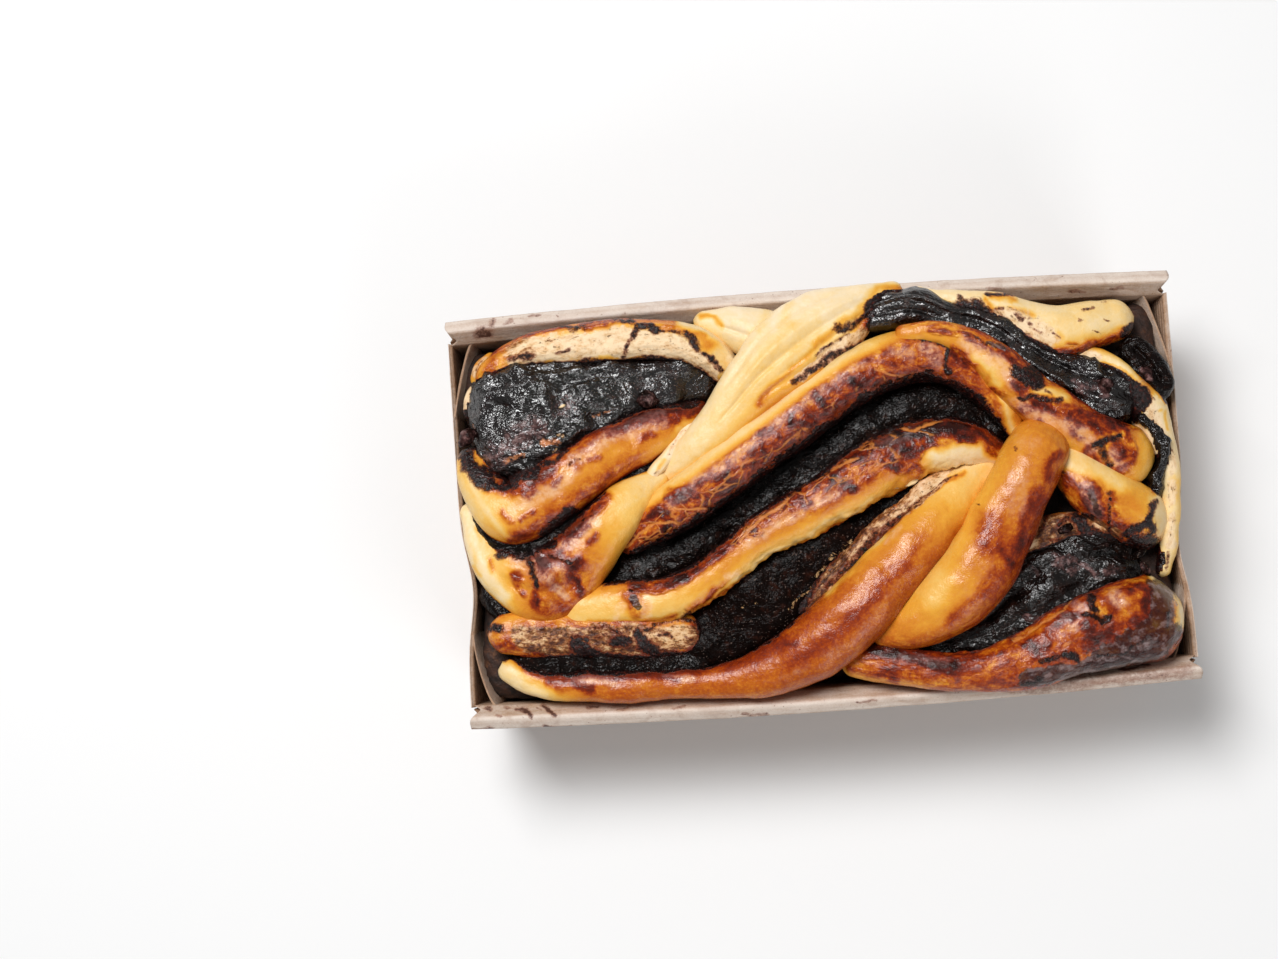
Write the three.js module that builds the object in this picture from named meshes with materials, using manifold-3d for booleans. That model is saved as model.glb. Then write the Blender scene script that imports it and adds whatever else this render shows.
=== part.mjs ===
/*
 * Chocolate babka, baked and sold in its folded paper loaf case.
 *
 * Millimetres, +Z up. X runs along the loaf and Y across it. The origin is the middle of the
 * flat base that the case stands on.
 *
 * The bread is one solid: a body that fills the case, and the twisted strands that rise from it.
 * Each chocolate filling is a deep ribbon of its own that runs down through the bread between
 * two strands. The case is one folded sheet: a base, four flared walls, a hem bent outwards
 * along each long wall, and a gusset that rounds each inner corner.
 */
import * as THREE from "three";
import { mergeVertices } from "three/addons/utils/BufferGeometryUtils.js";
import Module from "manifold-3d";

const wasm = await Module();
wasm.setup();
const { Manifold, Mesh } = wasm;

// ---- Driving dimensions -------------------------------------------------------------------

const CASE_LENGTH = 235; // tip to tip of the hems
const CASE_WIDTH = 133; // over both hems, at the corners
const RIM_HEIGHT = 62; // ridge of the hem above the table
const BOARD = 1.2; // thickness of the corrugated board
const GUSSET_BOARD = 0.9; // the single ply that rounds a corner
const HEM_WIDTH = 7.4; // inner wall to outer lip
const HEM_DROP = 2.4; // the outer lip below the ridge
const HEM_LIP = 2.6; // how far the lip is turned down
const END_PROUD = 0.6; // the end walls flare this far past the hem tips
const END_HEIGHT = 57; // an end wall is lower than the ridge
const TAPER = 0.05; // the base is this share smaller than the rim
const SIDE_BOW = 2.4; // the full loaf pushes each long wall out by this at mid length
const END_DENT = 3.2; // the front half of each end wall is pulled in by this
const END_DENT_Y = -22;
const END_DENT_SPREAD = 15;
const GUSSET_ALONG_SIDE = 10; // a gusset starts this far from the end wall, on the long wall
const GUSSET_ALONG_END = 24; // and meets the end wall this far from the long wall
const GUSSET_BEND = 2.4; // its bend stands this far off both walls
const GUSSET_STEPS = 6;
const GAP = 0.4; // clearance between the bread and the paper
const FILLING_GAP = 0.35; // clearance between bread and filling

const BREAD_BODY_TOP = 50; // the body of the loaf, under the strands
const STRAND_SIDES = 11;
const FILLING_SIDES = 8;
const RING_SPACING = 7; // mean distance between two sections of a strand
const FILLING_SPACING = 10;
const SQUARENESS = 0.9; // under 1 makes a section fuller than an ellipse
const SCRAP = 400; // a loose piece of filling under this volume, in cubic millimetres, is dropped

// ---- Strands and fillings -----------------------------------------------------------------
// Each row of a path is [x, y, half width, height of the crest]. flat is the section's half
// height as a share of its half width. The first and last rows are the tips of the strand.

const STRANDS = {
  arch: {
    flat: 0.95,
    path: [
      [-108.5, 41, 2, 62],
      [-103.5, 49.5, 3.4, 67],
      [-93, 54, 5, 70],
      [-78, 55.4, 6.6, 72],
      [-60, 55.4, 6.6, 72],
      [-44, 54, 6.5, 71],
      [-33, 49.8, 6.5, 69],
      [-25, 40, 5, 64],
    ],
  },
  knuckle: {
    flat: 0.95,
    path: [
      [-113, 24, 3.5, 64],
      [-108.5, 10, 6.5, 71],
      [-100, 2, 9.8, 75],
      [-90, 4.5, 10.3, 76],
      [-78, 12, 9.2, 75],
      [-64, 19.8, 8.6, 73],
      [-50, 25.5, 6.6, 70],
      [-34, 32, 3, 64],
    ],
  },
  elbow: {
    flat: 0.9,
    path: [
      [-115.5, 8, 3.5, 60],
      [-110.5, -6, 6, 64],
      [-101, -17.5, 9.2, 68],
      [-90, -22.6, 11.8, 71],
      [-79, -16, 10.6, 73],
      [-70, -5.5, 8.6, 74],
      [-61, 4, 6.2, 72],
      [-49, 12, 2.8, 67],
    ],
  },
  pale: {
    flat: 0.62,
    path: [
      [31, 65.5, 2.5, 68],
      [21, 62, 6.2, 72],
      [8, 55.6, 12.4, 75],
      [-5, 47.6, 14.5, 77],
      [-17, 39, 11, 77],
      [-28, 28.5, 8, 75],
      [-39, 19, 6, 72],
      [-52, 9.5, 3, 66],
    ],
  },
  pale_fold: {
    flat: 0.8,
    path: [
      [-36, 61, 3, 66],
      [-26, 58, 6.5, 70],
      [-16, 54, 9, 72],
      [-6, 50, 8, 70],
    ],
  },
  diagonal: {
    flat: 1,
    path: [
      [-66, -12, 4, 66],
      [-55, -4.5, 7, 71],
      [-42, 3, 8.5, 75],
      [-26, 12.8, 8.7, 77],
      [-10, 23, 8.7, 78],
      [6, 33.5, 8.7, 78],
      [20, 40.5, 8.6, 78],
      [34, 43.5, 8.4, 77],
      [46, 40, 7.5, 76],
      [55, 32.5, 6.5, 74],
      [61, 24, 5, 72],
      [64.5, 14, 3, 67],
    ],
  },
  upper_loop: {
    flat: 0.9,
    path: [
      [27, 50, 2.5, 76],
      [40, 49.6, 3.6, 78],
      [50, 45.2, 5.6, 79],
      [59, 37.6, 7.2, 79],
      [68, 29, 8.5, 78],
      [78, 21, 9, 76],
      [88, 13.5, 9.4, 74],
      [98, 7.2, 10.2, 73],
      [108.5, 3.5, 9, 71],
    ],
  },
  long_lower: {
    flat: 0.95,
    path: [
      [-107, -46.5, 3.8, 62],
      [-94, -53.8, 4.4, 65],
      [-76, -55.4, 4.8, 67],
      [-56, -56.2, 5.2, 68],
      [-36, -56.8, 5.8, 69],
      [-21, -54.4, 8.4, 72],
      [-7, -48.4, 10.8, 76],
      [7, -38.2, 11.2, 79],
      [20, -25.6, 10.3, 79],
      [34, -12.6, 9.5, 77],
      [45, -1.6, 8, 73],
      [58, 8, 4, 67],
    ],
  },
  plump: {
    flat: 0.9,
    path: [
      [75, 19, 9, 78],
      [67.3, 6.5, 10.3, 82],
      [60.3, -5.5, 10.7, 82],
      [54, -16.8, 11.6, 82],
      [46.5, -27.6, 12, 81],
      [37, -36.6, 11.4, 79],
      [26, -42.6, 8.6, 75],
      [12, -44.5, 4, 68],
    ],
  },
  second_diagonal: {
    flat: 0.95,
    path: [
      [-86, -28.5, 6, 67],
      [-66, -30, 6.6, 70],
      [-50, -28.6, 7, 72],
      [-37, -23, 7, 73],
      [-24, -13.6, 6.6, 74],
      [-10, -6.5, 7.9, 75],
      [4, 0.2, 8.7, 76],
      [16, 7, 9.2, 76],
      [28, 12.4, 9.2, 76],
      [40, 14.5, 8.3, 75],
      [50, 13, 6.6, 72],
      [60, 8.5, 3, 67],
    ],
  },
  cut_band: {
    flat: 0.9,
    path: [
      [-113.5, -36.6, 5.6, 64],
      [-104, -37.6, 6.2, 66],
      [-90, -39, 6.4, 66],
      [-72, -40, 6.8, 66],
      [-54, -41.4, 6.8, 66],
      [-37, -42.4, 5.6, 64],
    ],
  },
  right_knuckle: {
    flat: 0.9,
    path: [
      [73, 15, 4, 71],
      [84, 3, 7.6, 73],
      [92, -6, 9.6, 73],
      [101, -13.4, 9.8, 71],
      [113, -20.5, 8, 66],
    ],
  },
  lower_right: {
    flat: 0.85,
    path: [
      [2, -52, 4.5, 66],
      [16, -54.4, 6.2, 69],
      [30, -57.4, 6.4, 71],
      [46, -59.2, 6.6, 71],
      [60, -57, 9, 72],
      [74, -52, 11.6, 74],
      [88, -48, 13.6, 75],
      [101, -46.2, 14, 75],
      [114, -45, 13, 70],
    ],
  },
  cream_roll: {
    flat: 0.9,
    path: [
      [34, 64, 3, 68],
      [52, 59, 4.4, 70],
      [68, 53.4, 6.8, 71],
      [80, 48.8, 8.4, 72],
      [93, 49.8, 7.8, 71],
      [107.5, 51.5, 7, 68],
    ],
  },
  right_cream: {
    flat: 1.1,
    path: [
      [86, 42, 4, 62],
      [99, 33, 4.6, 64],
      [108, 21, 6.6, 64],
      [111.5, 6, 6, 62],
      [112, -10, 4.6, 60],
      [108.5, -32, 4.6, 58],
    ],
  },
  crumb_patch: {
    flat: 0.9,
    path: [
      [62, -20, 4, 64],
      [72, -16.4, 5.4, 66],
      [84, -15.6, 4.6, 66],
      [98, -20, 3.6, 63],
    ],
  },
};

const FILLINGS = {
  filling_left: {
    flat: 1.1,
    path: [
      [-115, 29, 5, 62],
      [-105, 31, 11.5, 68],
      [-90, 33.4, 13.6, 70],
      [-74, 37, 12.4, 68],
      [-58, 39.6, 10.6, 64],
      [-42, 40.6, 8.4, 60],
      [-28, 40, 5, 57],
    ],
  },
  filling_valley: {
    flat: 2.4,
    path: [
      [-74, -22, 4, 59],
      [-56, -17, 5.6, 62],
      [-40, -9.4, 6, 63],
      [-24, -0.6, 6.4, 64],
      [-8, 8, 7, 65],
      [8, 18, 7.8, 66],
      [24, 26.6, 8, 66],
      [40, 29, 8, 66],
      [51, 23, 7, 65],
      [60, 11, 5, 63],
    ],
  },
  filling_slope: {
    flat: 1.6,
    path: [
      [-50, -47, 5, 60],
      [-34, -39.4, 9.6, 64],
      [-21, -30, 11.4, 66],
      [-8, -21.6, 10.6, 66],
      [6, -13, 9, 65],
      [20, -4, 7, 63],
      [34, 2, 5.4, 62],
      [48, 8, 3.6, 61],
    ],
  },
  filling_front: {
    flat: 2.4,
    path: [
      [-108, -43, 3.6, 57],
      [-92, -47, 4.8, 60],
      [-72, -48.4, 5.2, 61],
      [-56, -49.4, 5.2, 61],
      [-38, -51, 4, 60],
    ],
  },
  filling_back: {
    flat: 1.8,
    path: [
      [12, 55, 4, 70],
      [24, 58.6, 6.6, 72.5],
      [36, 59, 6.6, 72.5],
      [50, 54.6, 5.6, 71],
      [63, 47, 6.2, 70],
      [76, 37.4, 7.2, 70],
      [88, 30, 8.6, 71],
      [104, 25, 6.6, 68],
    ],
  },
  filling_corner: {
    flat: 1.6,
    path: [
      [103, 49, 4, 63],
      [105, 38, 7.8, 66],
      [110, 27.5, 5, 65],
      [113, 20, 3, 60],
    ],
  },
  filling_end: {
    flat: 2.4,
    path: [
      [104, 19, 3, 66],
      [110, 9.5, 3.8, 68],
      [110, 0, 3.8, 67],
      [105, -8, 3, 62],
    ],
  },
  filling_lower: {
    flat: 1.4,
    path: [
      [28, -53, 4, 58],
      [50, -46, 7, 62],
      [65, -36.4, 10.4, 65],
      [79, -29, 10.4, 67],
      [93, -26, 9, 66],
      [109, -26, 6, 62],
    ],
  },
  filling_crook: {
    flat: 2.4,
    path: [
      [-115, 18, 3, 58],
      [-111, 1, 4.4, 64],
      [-101, -9, 4.6, 66],
      [-88, -5.4, 4.6, 67],
      [-76, 3.4, 4.4, 66],
      [-62, 12, 4, 65],
      [-46, 16, 3, 64],
    ],
  },
  filling_nook: {
    flat: 2.2,
    path: [
      [-114, -14, 3, 56],
      [-108.5, -25, 4.8, 61],
      [-98, -31, 4, 60],
    ],
  },
};

// ---- Solids from geometries ---------------------------------------------------------------

// A closed three.js geometry as a manifold-3d solid.
function solidOf(geometry) {
  const bare = geometry.index ? geometry.toNonIndexed() : geometry.clone();
  bare.deleteAttribute("normal");
  bare.deleteAttribute("uv");
  const merged = mergeVertices(bare, 1e-3);
  return new Manifold(
    new Mesh({
      numProp: 3,
      vertProperties: merged.attributes.position.array,
      triVerts: new Uint32Array(merged.index.array),
    }),
  );
}

// A manifold-3d solid as a three.js geometry.
function geometryOf(solid) {
  const { vertProperties, triVerts } = solid.getMesh();
  return new THREE.BufferGeometry()
    .setAttribute("position", new THREE.BufferAttribute(vertProperties, 3))
    .setIndex(new THREE.BufferAttribute(triVerts, 1));
}

const unionOf = (solids) => solids.reduce((sum, one) => sum.add(one));
const cutBy = (solid, cutters) => cutters.reduce((rest, one) => rest.subtract(one), solid);
const largestOf = (solid) =>
  solid.decompose().reduce((best, one) => (one.volume() > best.volume() ? one : best));

// ---- Strands ------------------------------------------------------------------------------

// A tube with round ends along a smooth curve through the path's rows. Its section is a rounded
// oval that stands upright, as wide as the row says, with its top at the crest.
function strand({ path, flat }, sides, spacing, grow = 0) {
  const middle = new THREE.CatmullRomCurve3(
    path.map(([x, y, , crest]) => new THREE.Vector3(x, y, crest)),
    false,
    "catmullrom",
    0.5,
  );
  const girth = new THREE.CatmullRomCurve3(
    path.map(([, , halfWidth]) => new THREE.Vector3(halfWidth, 0, 0)),
    false,
    "catmullrom",
    0.5,
  );
  const length = middle.getLength();
  const count = Math.max(7, Math.round(length / spacing));
  const points = [];
  const tip = (at) => {
    const p = middle.getPoint(at);
    const drop = flat * girth.getPoint(at).x;
    const along = middle.getTangent(at).setZ(0).normalize();
    return p.addScaledVector(along, (at ? 1 : -1) * grow).setZ(p.z - drop);
  };
  for (let i = 1; i < count; i++) {
    const at = (1 - Math.cos((Math.PI * i) / count)) / 2; // closer together at the tips
    const p = middle.getPoint(at);
    const halfWidth = girth.getPoint(at).x;
    const along = middle.getTangent(at).setZ(0).normalize();
    const across = new THREE.Vector3(-along.y, along.x, 0);
    const fromTip = Math.min(at, 1 - at) * length;
    const inCap = Math.min(fromTip / girth.getPoint(Math.round(at)).x, 1);
    const rounding = Math.sqrt(1 - (1 - inCap) ** 2);
    const wide = halfWidth * rounding + grow;
    const tall = halfWidth * flat * rounding + grow;
    for (let k = 0; k < sides; k++) {
      const turn = (2 * Math.PI * k) / sides;
      const c = Math.sign(Math.cos(turn)) * Math.abs(Math.cos(turn)) ** SQUARENESS;
      const s = Math.sign(Math.sin(turn)) * Math.abs(Math.sin(turn)) ** SQUARENESS;
      const height = p.z - flat * halfWidth + tall * s;
      points.push(p.clone().addScaledVector(across, wide * c).setZ(height));
    }
  }
  const rings = count - 1;
  const first = points.push(tip(0)) - 1;
  const last = points.push(tip(1)) - 1;
  const faces = [];
  for (let k = 0; k < sides; k++) {
    const next = (k + 1) % sides;
    faces.push(first, next, k);
    faces.push(last, (rings - 1) * sides + k, (rings - 1) * sides + next);
    for (let i = 0; i < rings - 1; i++) {
      const [a, b] = [i * sides + k, i * sides + next];
      faces.push(a, b, b + sides, a, b + sides, a + sides);
    }
  }
  const tube = new THREE.BufferGeometry().setFromPoints(points);
  tube.setIndex(faces);
  const made = solidOf(tube);
  return made.volume() > 0 ? made : solidOf(flipped(tube));
}

// The same geometry with every face turned round.
function flipped(geometry) {
  const turned = geometry.clone();
  const order = turned.index.array;
  for (let i = 0; i < order.length; i += 3) [order[i], order[i + 1]] = [order[i + 1], order[i]];
  return turned;
}

// ---- Paper case ---------------------------------------------------------------------------

const HALF_LENGTH = CASE_LENGTH / 2;
const HALF_WIDTH = CASE_WIDTH / 2;
const WALL_Y = HALF_WIDTH - HEM_WIDTH; // inner face of a long wall, at the rim
const END_X = HALF_LENGTH + END_PROUD - BOARD; // inner face of an end wall, at the rim
const HEM_FOOT = END_HEIGHT - 0.6;
const RIDGE_Y = WALL_Y + HEM_WIDTH * 0.5;
const LIP_Z = RIM_HEIGHT - HEM_DROP;
const SIDE_STEPS = 10;
const END_STEPS = 8;
const WAY_OUT = 60; // how far a cutter reaches past the case
const WAY_UP = 40; // and how far above it

// Bends a straight-walled shape into the real case: smaller at the base, bowed long walls, and
// end walls pulled in at the front.
function settle(geometry) {
  const at = geometry.attributes.position;
  for (let i = 0; i < at.count; i++) {
    const [x, y, z] = [at.getX(i), at.getY(i), at.getZ(i)];
    const height = z / RIM_HEIGHT;
    const scale = 1 - TAPER * (1 - height);
    const bow = SIDE_BOW * Math.max(0, 1 - (x / HALF_LENGTH) ** 2) * height;
    const nearSide = THREE.MathUtils.smoothstep(Math.abs(y), WALL_Y * 0.6, WALL_Y);
    const nearEnd = THREE.MathUtils.smoothstep(Math.abs(x), END_X * 0.85, END_X);
    const dent = END_DENT * Math.exp(-(((y - END_DENT_Y) / END_DENT_SPREAD) ** 2)) * height;
    at.setX(i, x * scale - Math.sign(x) * dent * nearEnd);
    at.setY(i, y * scale + Math.sign(y) * bow * nearSide);
  }
  return geometry;
}

// A profile given as [across, up] points, carried along X.
function alongX(profile) {
  const shape = new THREE.Shape(profile.map(([a, b]) => new THREE.Vector2(a, b)));
  const bar = new THREE.ExtrudeGeometry(shape, {
    depth: CASE_LENGTH,
    steps: SIDE_STEPS,
    bevelEnabled: false,
  });
  const turn = new THREE.Matrix4().makeBasis(
    new THREE.Vector3(0, 1, 0),
    new THREE.Vector3(0, 0, 1),
    new THREE.Vector3(1, 0, 0),
  );
  return bar.translate(0, 0, -CASE_LENGTH / 2).applyMatrix4(turn);
}

// A plan outline given as [x, y] points, raised from one height to another.
function upright(outline, from, to) {
  const shape = new THREE.Shape(outline.map(([x, y]) => new THREE.Vector2(x, y)));
  const made = new THREE.ExtrudeGeometry(shape, { depth: to - from, steps: 1, bevelEnabled: false });
  return made.translate(0, 0, from);
}

// The points of a straight wall between two corners, without the last.
function wallPoints([ax, ay], [bx, by], steps) {
  return Array.from({ length: steps }, (_, i) => {
    const share = i / steps;
    return [ax + (bx - ax) * share, ay + (by - ay) * share];
  });
}

// Plan of the gusset in the corner at +X +Y, from the end wall to the long wall, moved inwards.
function gussetPoints(inwards) {
  const onEnd = new THREE.Vector2(END_X - inwards, WALL_Y - GUSSET_ALONG_END);
  const onSide = new THREE.Vector2(END_X - GUSSET_ALONG_SIDE, WALL_Y - inwards);
  const bend = new THREE.Vector2(END_X - GUSSET_BEND - inwards, WALL_Y - GUSSET_BEND - inwards);
  const curve = new THREE.QuadraticBezierCurve(onEnd, bend, onSide);
  return curve.getPoints(GUSSET_STEPS).map((p) => [p.x, p.y]);
}

// Plan of the inside of the case, moved inwards: two long walls, two end walls, four gussets.
function insideOutline(inwards) {
  const corner = gussetPoints(inwards);
  const back = corner.slice().reverse();
  const flip = (points, sx, sy) => points.map(([x, y]) => [x * sx, y * sy]);
  const runs = [corner, flip(back, -1, 1), flip(corner, -1, -1), flip(back, 1, -1)];
  return runs.flatMap((run, i) => {
    const from = run[run.length - 1];
    const to = runs[(i + 1) % 4][0];
    return [...run, ...wallPoints(from, to, i % 2 ? END_STEPS : SIDE_STEPS).slice(1)];
  });
}

// Plan of the outside of the walls.
function outsideOutline() {
  const [x, y] = [END_X + BOARD, WALL_Y + BOARD];
  const corners = [[x, -y], [x, y], [-x, y], [-x, -y]];
  return corners.flatMap((corner, i) => {
    return wallPoints(corner, corners[(i + 1) % 4], i % 2 ? SIDE_STEPS : END_STEPS + 4);
  });
}

// Plan of the empty pocket between a gusset and the corner behind it.
function pocketOutline(sx, sy) {
  const outline = [
    ...gussetPoints(-GUSSET_BOARD).slice(1, -1),
    [END_X - GUSSET_ALONG_SIDE * 0.6, WALL_Y],
    [END_X, WALL_Y],
    [END_X, WALL_Y - GUSSET_ALONG_END * 0.8],
  ];
  const placed = outline.map(([x, y]) => [x * sx, y * sy]);
  return sx * sy > 0 ? placed : placed.reverse();
}

// The hem of a long wall: up the inner slope to the ridge, down to the lip, and back below.
const hemProfile = [
  [WALL_Y + 0.2, HEM_FOOT],
  [RIDGE_Y - 0.5, RIM_HEIGHT - 0.3],
  [RIDGE_Y + 0.5, RIM_HEIGHT],
  [HALF_WIDTH - 0.5, LIP_Z + 0.2],
  [HALF_WIDTH, LIP_Z - 0.5],
  [HALF_WIDTH, LIP_Z - HEM_LIP],
  [HALF_WIDTH - BOARD, LIP_Z - HEM_LIP],
  [HALF_WIDTH - BOARD - 0.2, LIP_Z - 1.2],
  [RIDGE_Y + 0.3, RIM_HEIGHT - BOARD - 0.4],
  [WALL_Y + BOARD - 0.2, HEM_FOOT - 1],
  [WALL_Y + 0.2, HEM_FOOT - 1],
];

// The same length of profile on both long walls.
function onBothSides(profile) {
  const one = alongX(profile);
  return [one.clone(), one.rotateZ(Math.PI)].map((side) => solidOf(settle(side)));
}

function paperCase() {
  const inside = upright(insideOutline(0), BOARD, RIM_HEIGHT + WAY_UP);
  const pockets = [[1, 1], [-1, 1], [-1, -1], [1, -1]].map(([sx, sy]) => {
    return solidOf(settle(upright(pocketOutline(sx, sy), BOARD, RIM_HEIGHT + WAY_UP)));
  });
  const walls = solidOf(settle(upright(outsideOutline(), 0, END_HEIGHT)));
  return unionOf([cutBy(walls, [solidOf(settle(inside)), ...pockets]), ...onBothSides(hemProfile)]);
}

// The room that the bread may fill: inside the walls, and above the hems and the end walls.
function roomForBread() {
  const overHem = [
    [-GAP, END_HEIGHT + GAP],
    [WALL_Y - GAP, END_HEIGHT + GAP],
    [RIDGE_Y - 0.5 - GAP, RIM_HEIGHT],
    [RIDGE_Y + 0.5, RIM_HEIGHT + GAP],
    [HALF_WIDTH - 0.5, LIP_Z + 0.2 + GAP],
    [HALF_WIDTH + GAP, LIP_Z],
    [HALF_WIDTH + WAY_OUT, LIP_Z],
    [HALF_WIDTH + WAY_OUT, RIM_HEIGHT + WAY_UP],
    [-GAP, RIM_HEIGHT + WAY_UP],
  ];
  const over = onBothSides(overHem);
  const inside = upright(insideOutline(GAP), BOARD + GAP, RIM_HEIGHT + WAY_UP);
  return unionOf([solidOf(settle(inside)), ...over]);
}

// ---- Loaf ---------------------------------------------------------------------------------

const room = roomForBread();
const each = (table, sides, spacing, grow) =>
  Object.values(table).map((row) => strand(row, sides, spacing, grow));

function breadSolid() {
  const block = new THREE.BoxGeometry(CASE_LENGTH, CASE_WIDTH, BREAD_BODY_TOP);
  const body = cutBy(
    solidOf(block.translate(0, 0, BREAD_BODY_TOP / 2)),
    each(FILLINGS, FILLING_SIDES, FILLING_SPACING, FILLING_GAP),
  );
  const strands = each(STRANDS, STRAND_SIDES, RING_SPACING, 0);
  return largestOf(unionOf([body, ...strands]).intersect(room));
}

// The fillings, each clear of the bread, of the paper and of the fillings before it.
function fillingSolids(bread) {
  const taken = [...each(STRANDS, STRAND_SIDES, RING_SPACING, FILLING_GAP), bread];
  const made = new Map();
  for (const [name, row] of Object.entries(FILLINGS)) {
    const whole = cutBy(strand(row, FILLING_SIDES, FILLING_SPACING), taken).intersect(room);
    const kept = largestOf(whole);
    if (kept.volume() > SCRAP) made.set(name, kept);
    taken.push(strand(row, FILLING_SIDES, FILLING_SPACING, FILLING_GAP));
  }
  return made;
}

// ---- Colours and assembly -----------------------------------------------------------------

const crust = new THREE.MeshStandardMaterial({ color: 0xc9772a, roughness: 0.42, metalness: 0 });
const chocolate = new THREE.MeshStandardMaterial({ color: 0x1c1210, roughness: 0.35, metalness: 0 });
const kraft = new THREE.MeshStandardMaterial({ color: 0x8a735d, roughness: 0.85, metalness: 0 });

const group = new THREE.Group();
function addNode(name, solid, material) {
  const mesh = new THREE.Mesh(geometryOf(solid), material);
  mesh.name = name;
  group.add(mesh);
}

const bread = breadSolid();
addNode("bread", bread, crust);
for (const [name, solid] of fillingSolids(bread)) addNode(name, solid, chocolate);
addNode("paper_case", paperCase(), kraft);

export default group;
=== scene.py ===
"""The look of a chocolate babka in its folded paper loaf case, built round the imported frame.

The loaf is a set of strands, round-ended tubes along smooth curves, each with its own bake and marks,
on a body that fills the case. The chocolate between them is a set of granular ribbons. The case is
paper board, swept from its folds. Lengths are written in millimetres and turned into metres as each
mesh is made.
"""

import bpy
import numpy as np
from mathutils import Matrix, Vector


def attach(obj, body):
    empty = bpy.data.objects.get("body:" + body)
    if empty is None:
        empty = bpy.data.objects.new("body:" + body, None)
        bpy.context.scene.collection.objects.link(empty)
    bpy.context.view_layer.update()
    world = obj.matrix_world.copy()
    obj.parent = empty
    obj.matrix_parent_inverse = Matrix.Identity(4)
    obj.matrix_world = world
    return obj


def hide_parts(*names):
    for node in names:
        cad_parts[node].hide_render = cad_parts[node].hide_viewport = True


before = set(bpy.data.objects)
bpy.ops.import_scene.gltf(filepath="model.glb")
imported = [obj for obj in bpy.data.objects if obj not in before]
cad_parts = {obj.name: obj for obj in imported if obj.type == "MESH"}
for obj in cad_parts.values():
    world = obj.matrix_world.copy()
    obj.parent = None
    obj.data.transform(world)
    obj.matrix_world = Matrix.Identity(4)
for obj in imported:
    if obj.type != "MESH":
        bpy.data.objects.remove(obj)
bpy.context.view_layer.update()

MM = 0.001


# ---- Repeatable noise ---------------------------------------------------------------------

def stir(cells, salt):
    """A repeatable number from 0 to 1 for each whole-number cell: its three coordinates are mixed
    into one integer, whose bits are then stirred by multiplying and shifting."""
    mixed = cells[..., 0] * 374761393 + cells[..., 1] * 668265263 + cells[..., 2] * 1440662683
    mixed = (mixed + salt * 974634777) & 0xFFFFFFFF
    mixed = ((mixed ^ (mixed >> 13)) * 1274126177) & 0xFFFFFFFF
    return ((mixed ^ (mixed >> 16)) & 0xFFFF) / 65535.0


def lumps(at, size, salt=0):
    """Smooth noise from -1 to 1: a number at each corner of a grid of that size, blended along each
    axis by 3t^2 - 2t^3."""
    scaled = at / size
    cell = np.floor(scaled).astype(np.int64)
    t = scaled - cell
    t = t * t * (3 - 2 * t)
    total = np.zeros(at.shape[:-1])
    for corner in np.ndindex(2, 2, 2):
        weight = np.prod(np.where(np.array(corner) == 1, t, 1 - t), axis=-1)
        total += weight * stir(cell + np.array(corner), salt)
    return 2 * total - 1


def rough(at, size, octaves=3, salt=0):
    """Noise with finer and weaker copies of itself added, each half the size and half as strong."""
    total = sum(lumps(at, size / 2**k, salt + k) / 2**k for k in range(octaves))
    return total / (2 - 2.0 ** (1 - octaves))


def pebbles(at, size, salt=0):
    """1 at the middle of a grain and 0 between grains: one grain at a random place in each cell, and
    the distance to the nearest one, turned over."""
    cell = np.floor(at / size).astype(np.int64)
    nearest = np.full(at.shape[:-1], np.inf)
    for step in np.ndindex(3, 3, 3):
        home = cell + np.array(step) - 1
        grain = home + np.stack([stir(home, salt + axis) for axis in range(3)], axis=-1)
        nearest = np.minimum(nearest, np.linalg.norm(at / size - grain, axis=-1))
    return np.clip(1 - nearest, 0, 1)


def fade(x, low, high):
    """0 below low, 1 above high, and a smooth step between."""
    t = np.clip((x - low) / (high - low), 0, 1)
    return t * t * (3 - 2 * t)


# ---- Meshes -------------------------------------------------------------------------------

def sweep(name, loops, tips=None, marks=None, uv=None):
    """A closed surface through rings of points. loops is (rings, points, 3) in millimetres, each ring
    anticlockwise when seen from the far end. The ends close on tips, or else on the rings' middles."""
    rings, around = loops.shape[:2]
    if tips is None:
        tips = np.stack([loops[0].mean(0), loops[-1].mean(0)])
    points = np.concatenate([loops.reshape(-1, 3), tips]) * MM
    ring, spoke = np.meshgrid(np.arange(rings - 1), np.arange(around), indexing="ij")
    near = ring * around
    after = (spoke + 1) % around
    quads = np.stack([near + spoke, near + after, near + around + after, near + around + spoke], -1)
    spin = np.arange(around)
    turn = (spin + 1) % around
    first = np.stack([np.full(around, rings * around), turn, spin], -1)
    far = (rings - 1) * around
    last = np.stack([np.full(around, rings * around + 1), far + spin, far + turn], -1)
    faces = [quads.reshape(-1, 4), first, last]
    mesh = bpy.data.meshes.new(name)
    mesh.from_pydata(points, [], [face for block in faces for face in block.tolist()])
    mesh.polygons.foreach_set("use_smooth", np.ones(len(mesh.polygons), bool))
    for mark, values in (marks or {}).items():
        layer = mesh.attributes.new(mark, "FLOAT", "POINT")
        ends = [values[0].mean(), values[-1].mean()]
        layer.data.foreach_set("value", np.concatenate([values.reshape(-1), ends]).astype(np.float32))
    if uv is not None:
        add_uv(mesh, uv, rings, around)
    mesh.update()
    piece = bpy.data.objects.new(name, mesh)
    bpy.context.scene.collection.objects.link(piece)
    return piece


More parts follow.
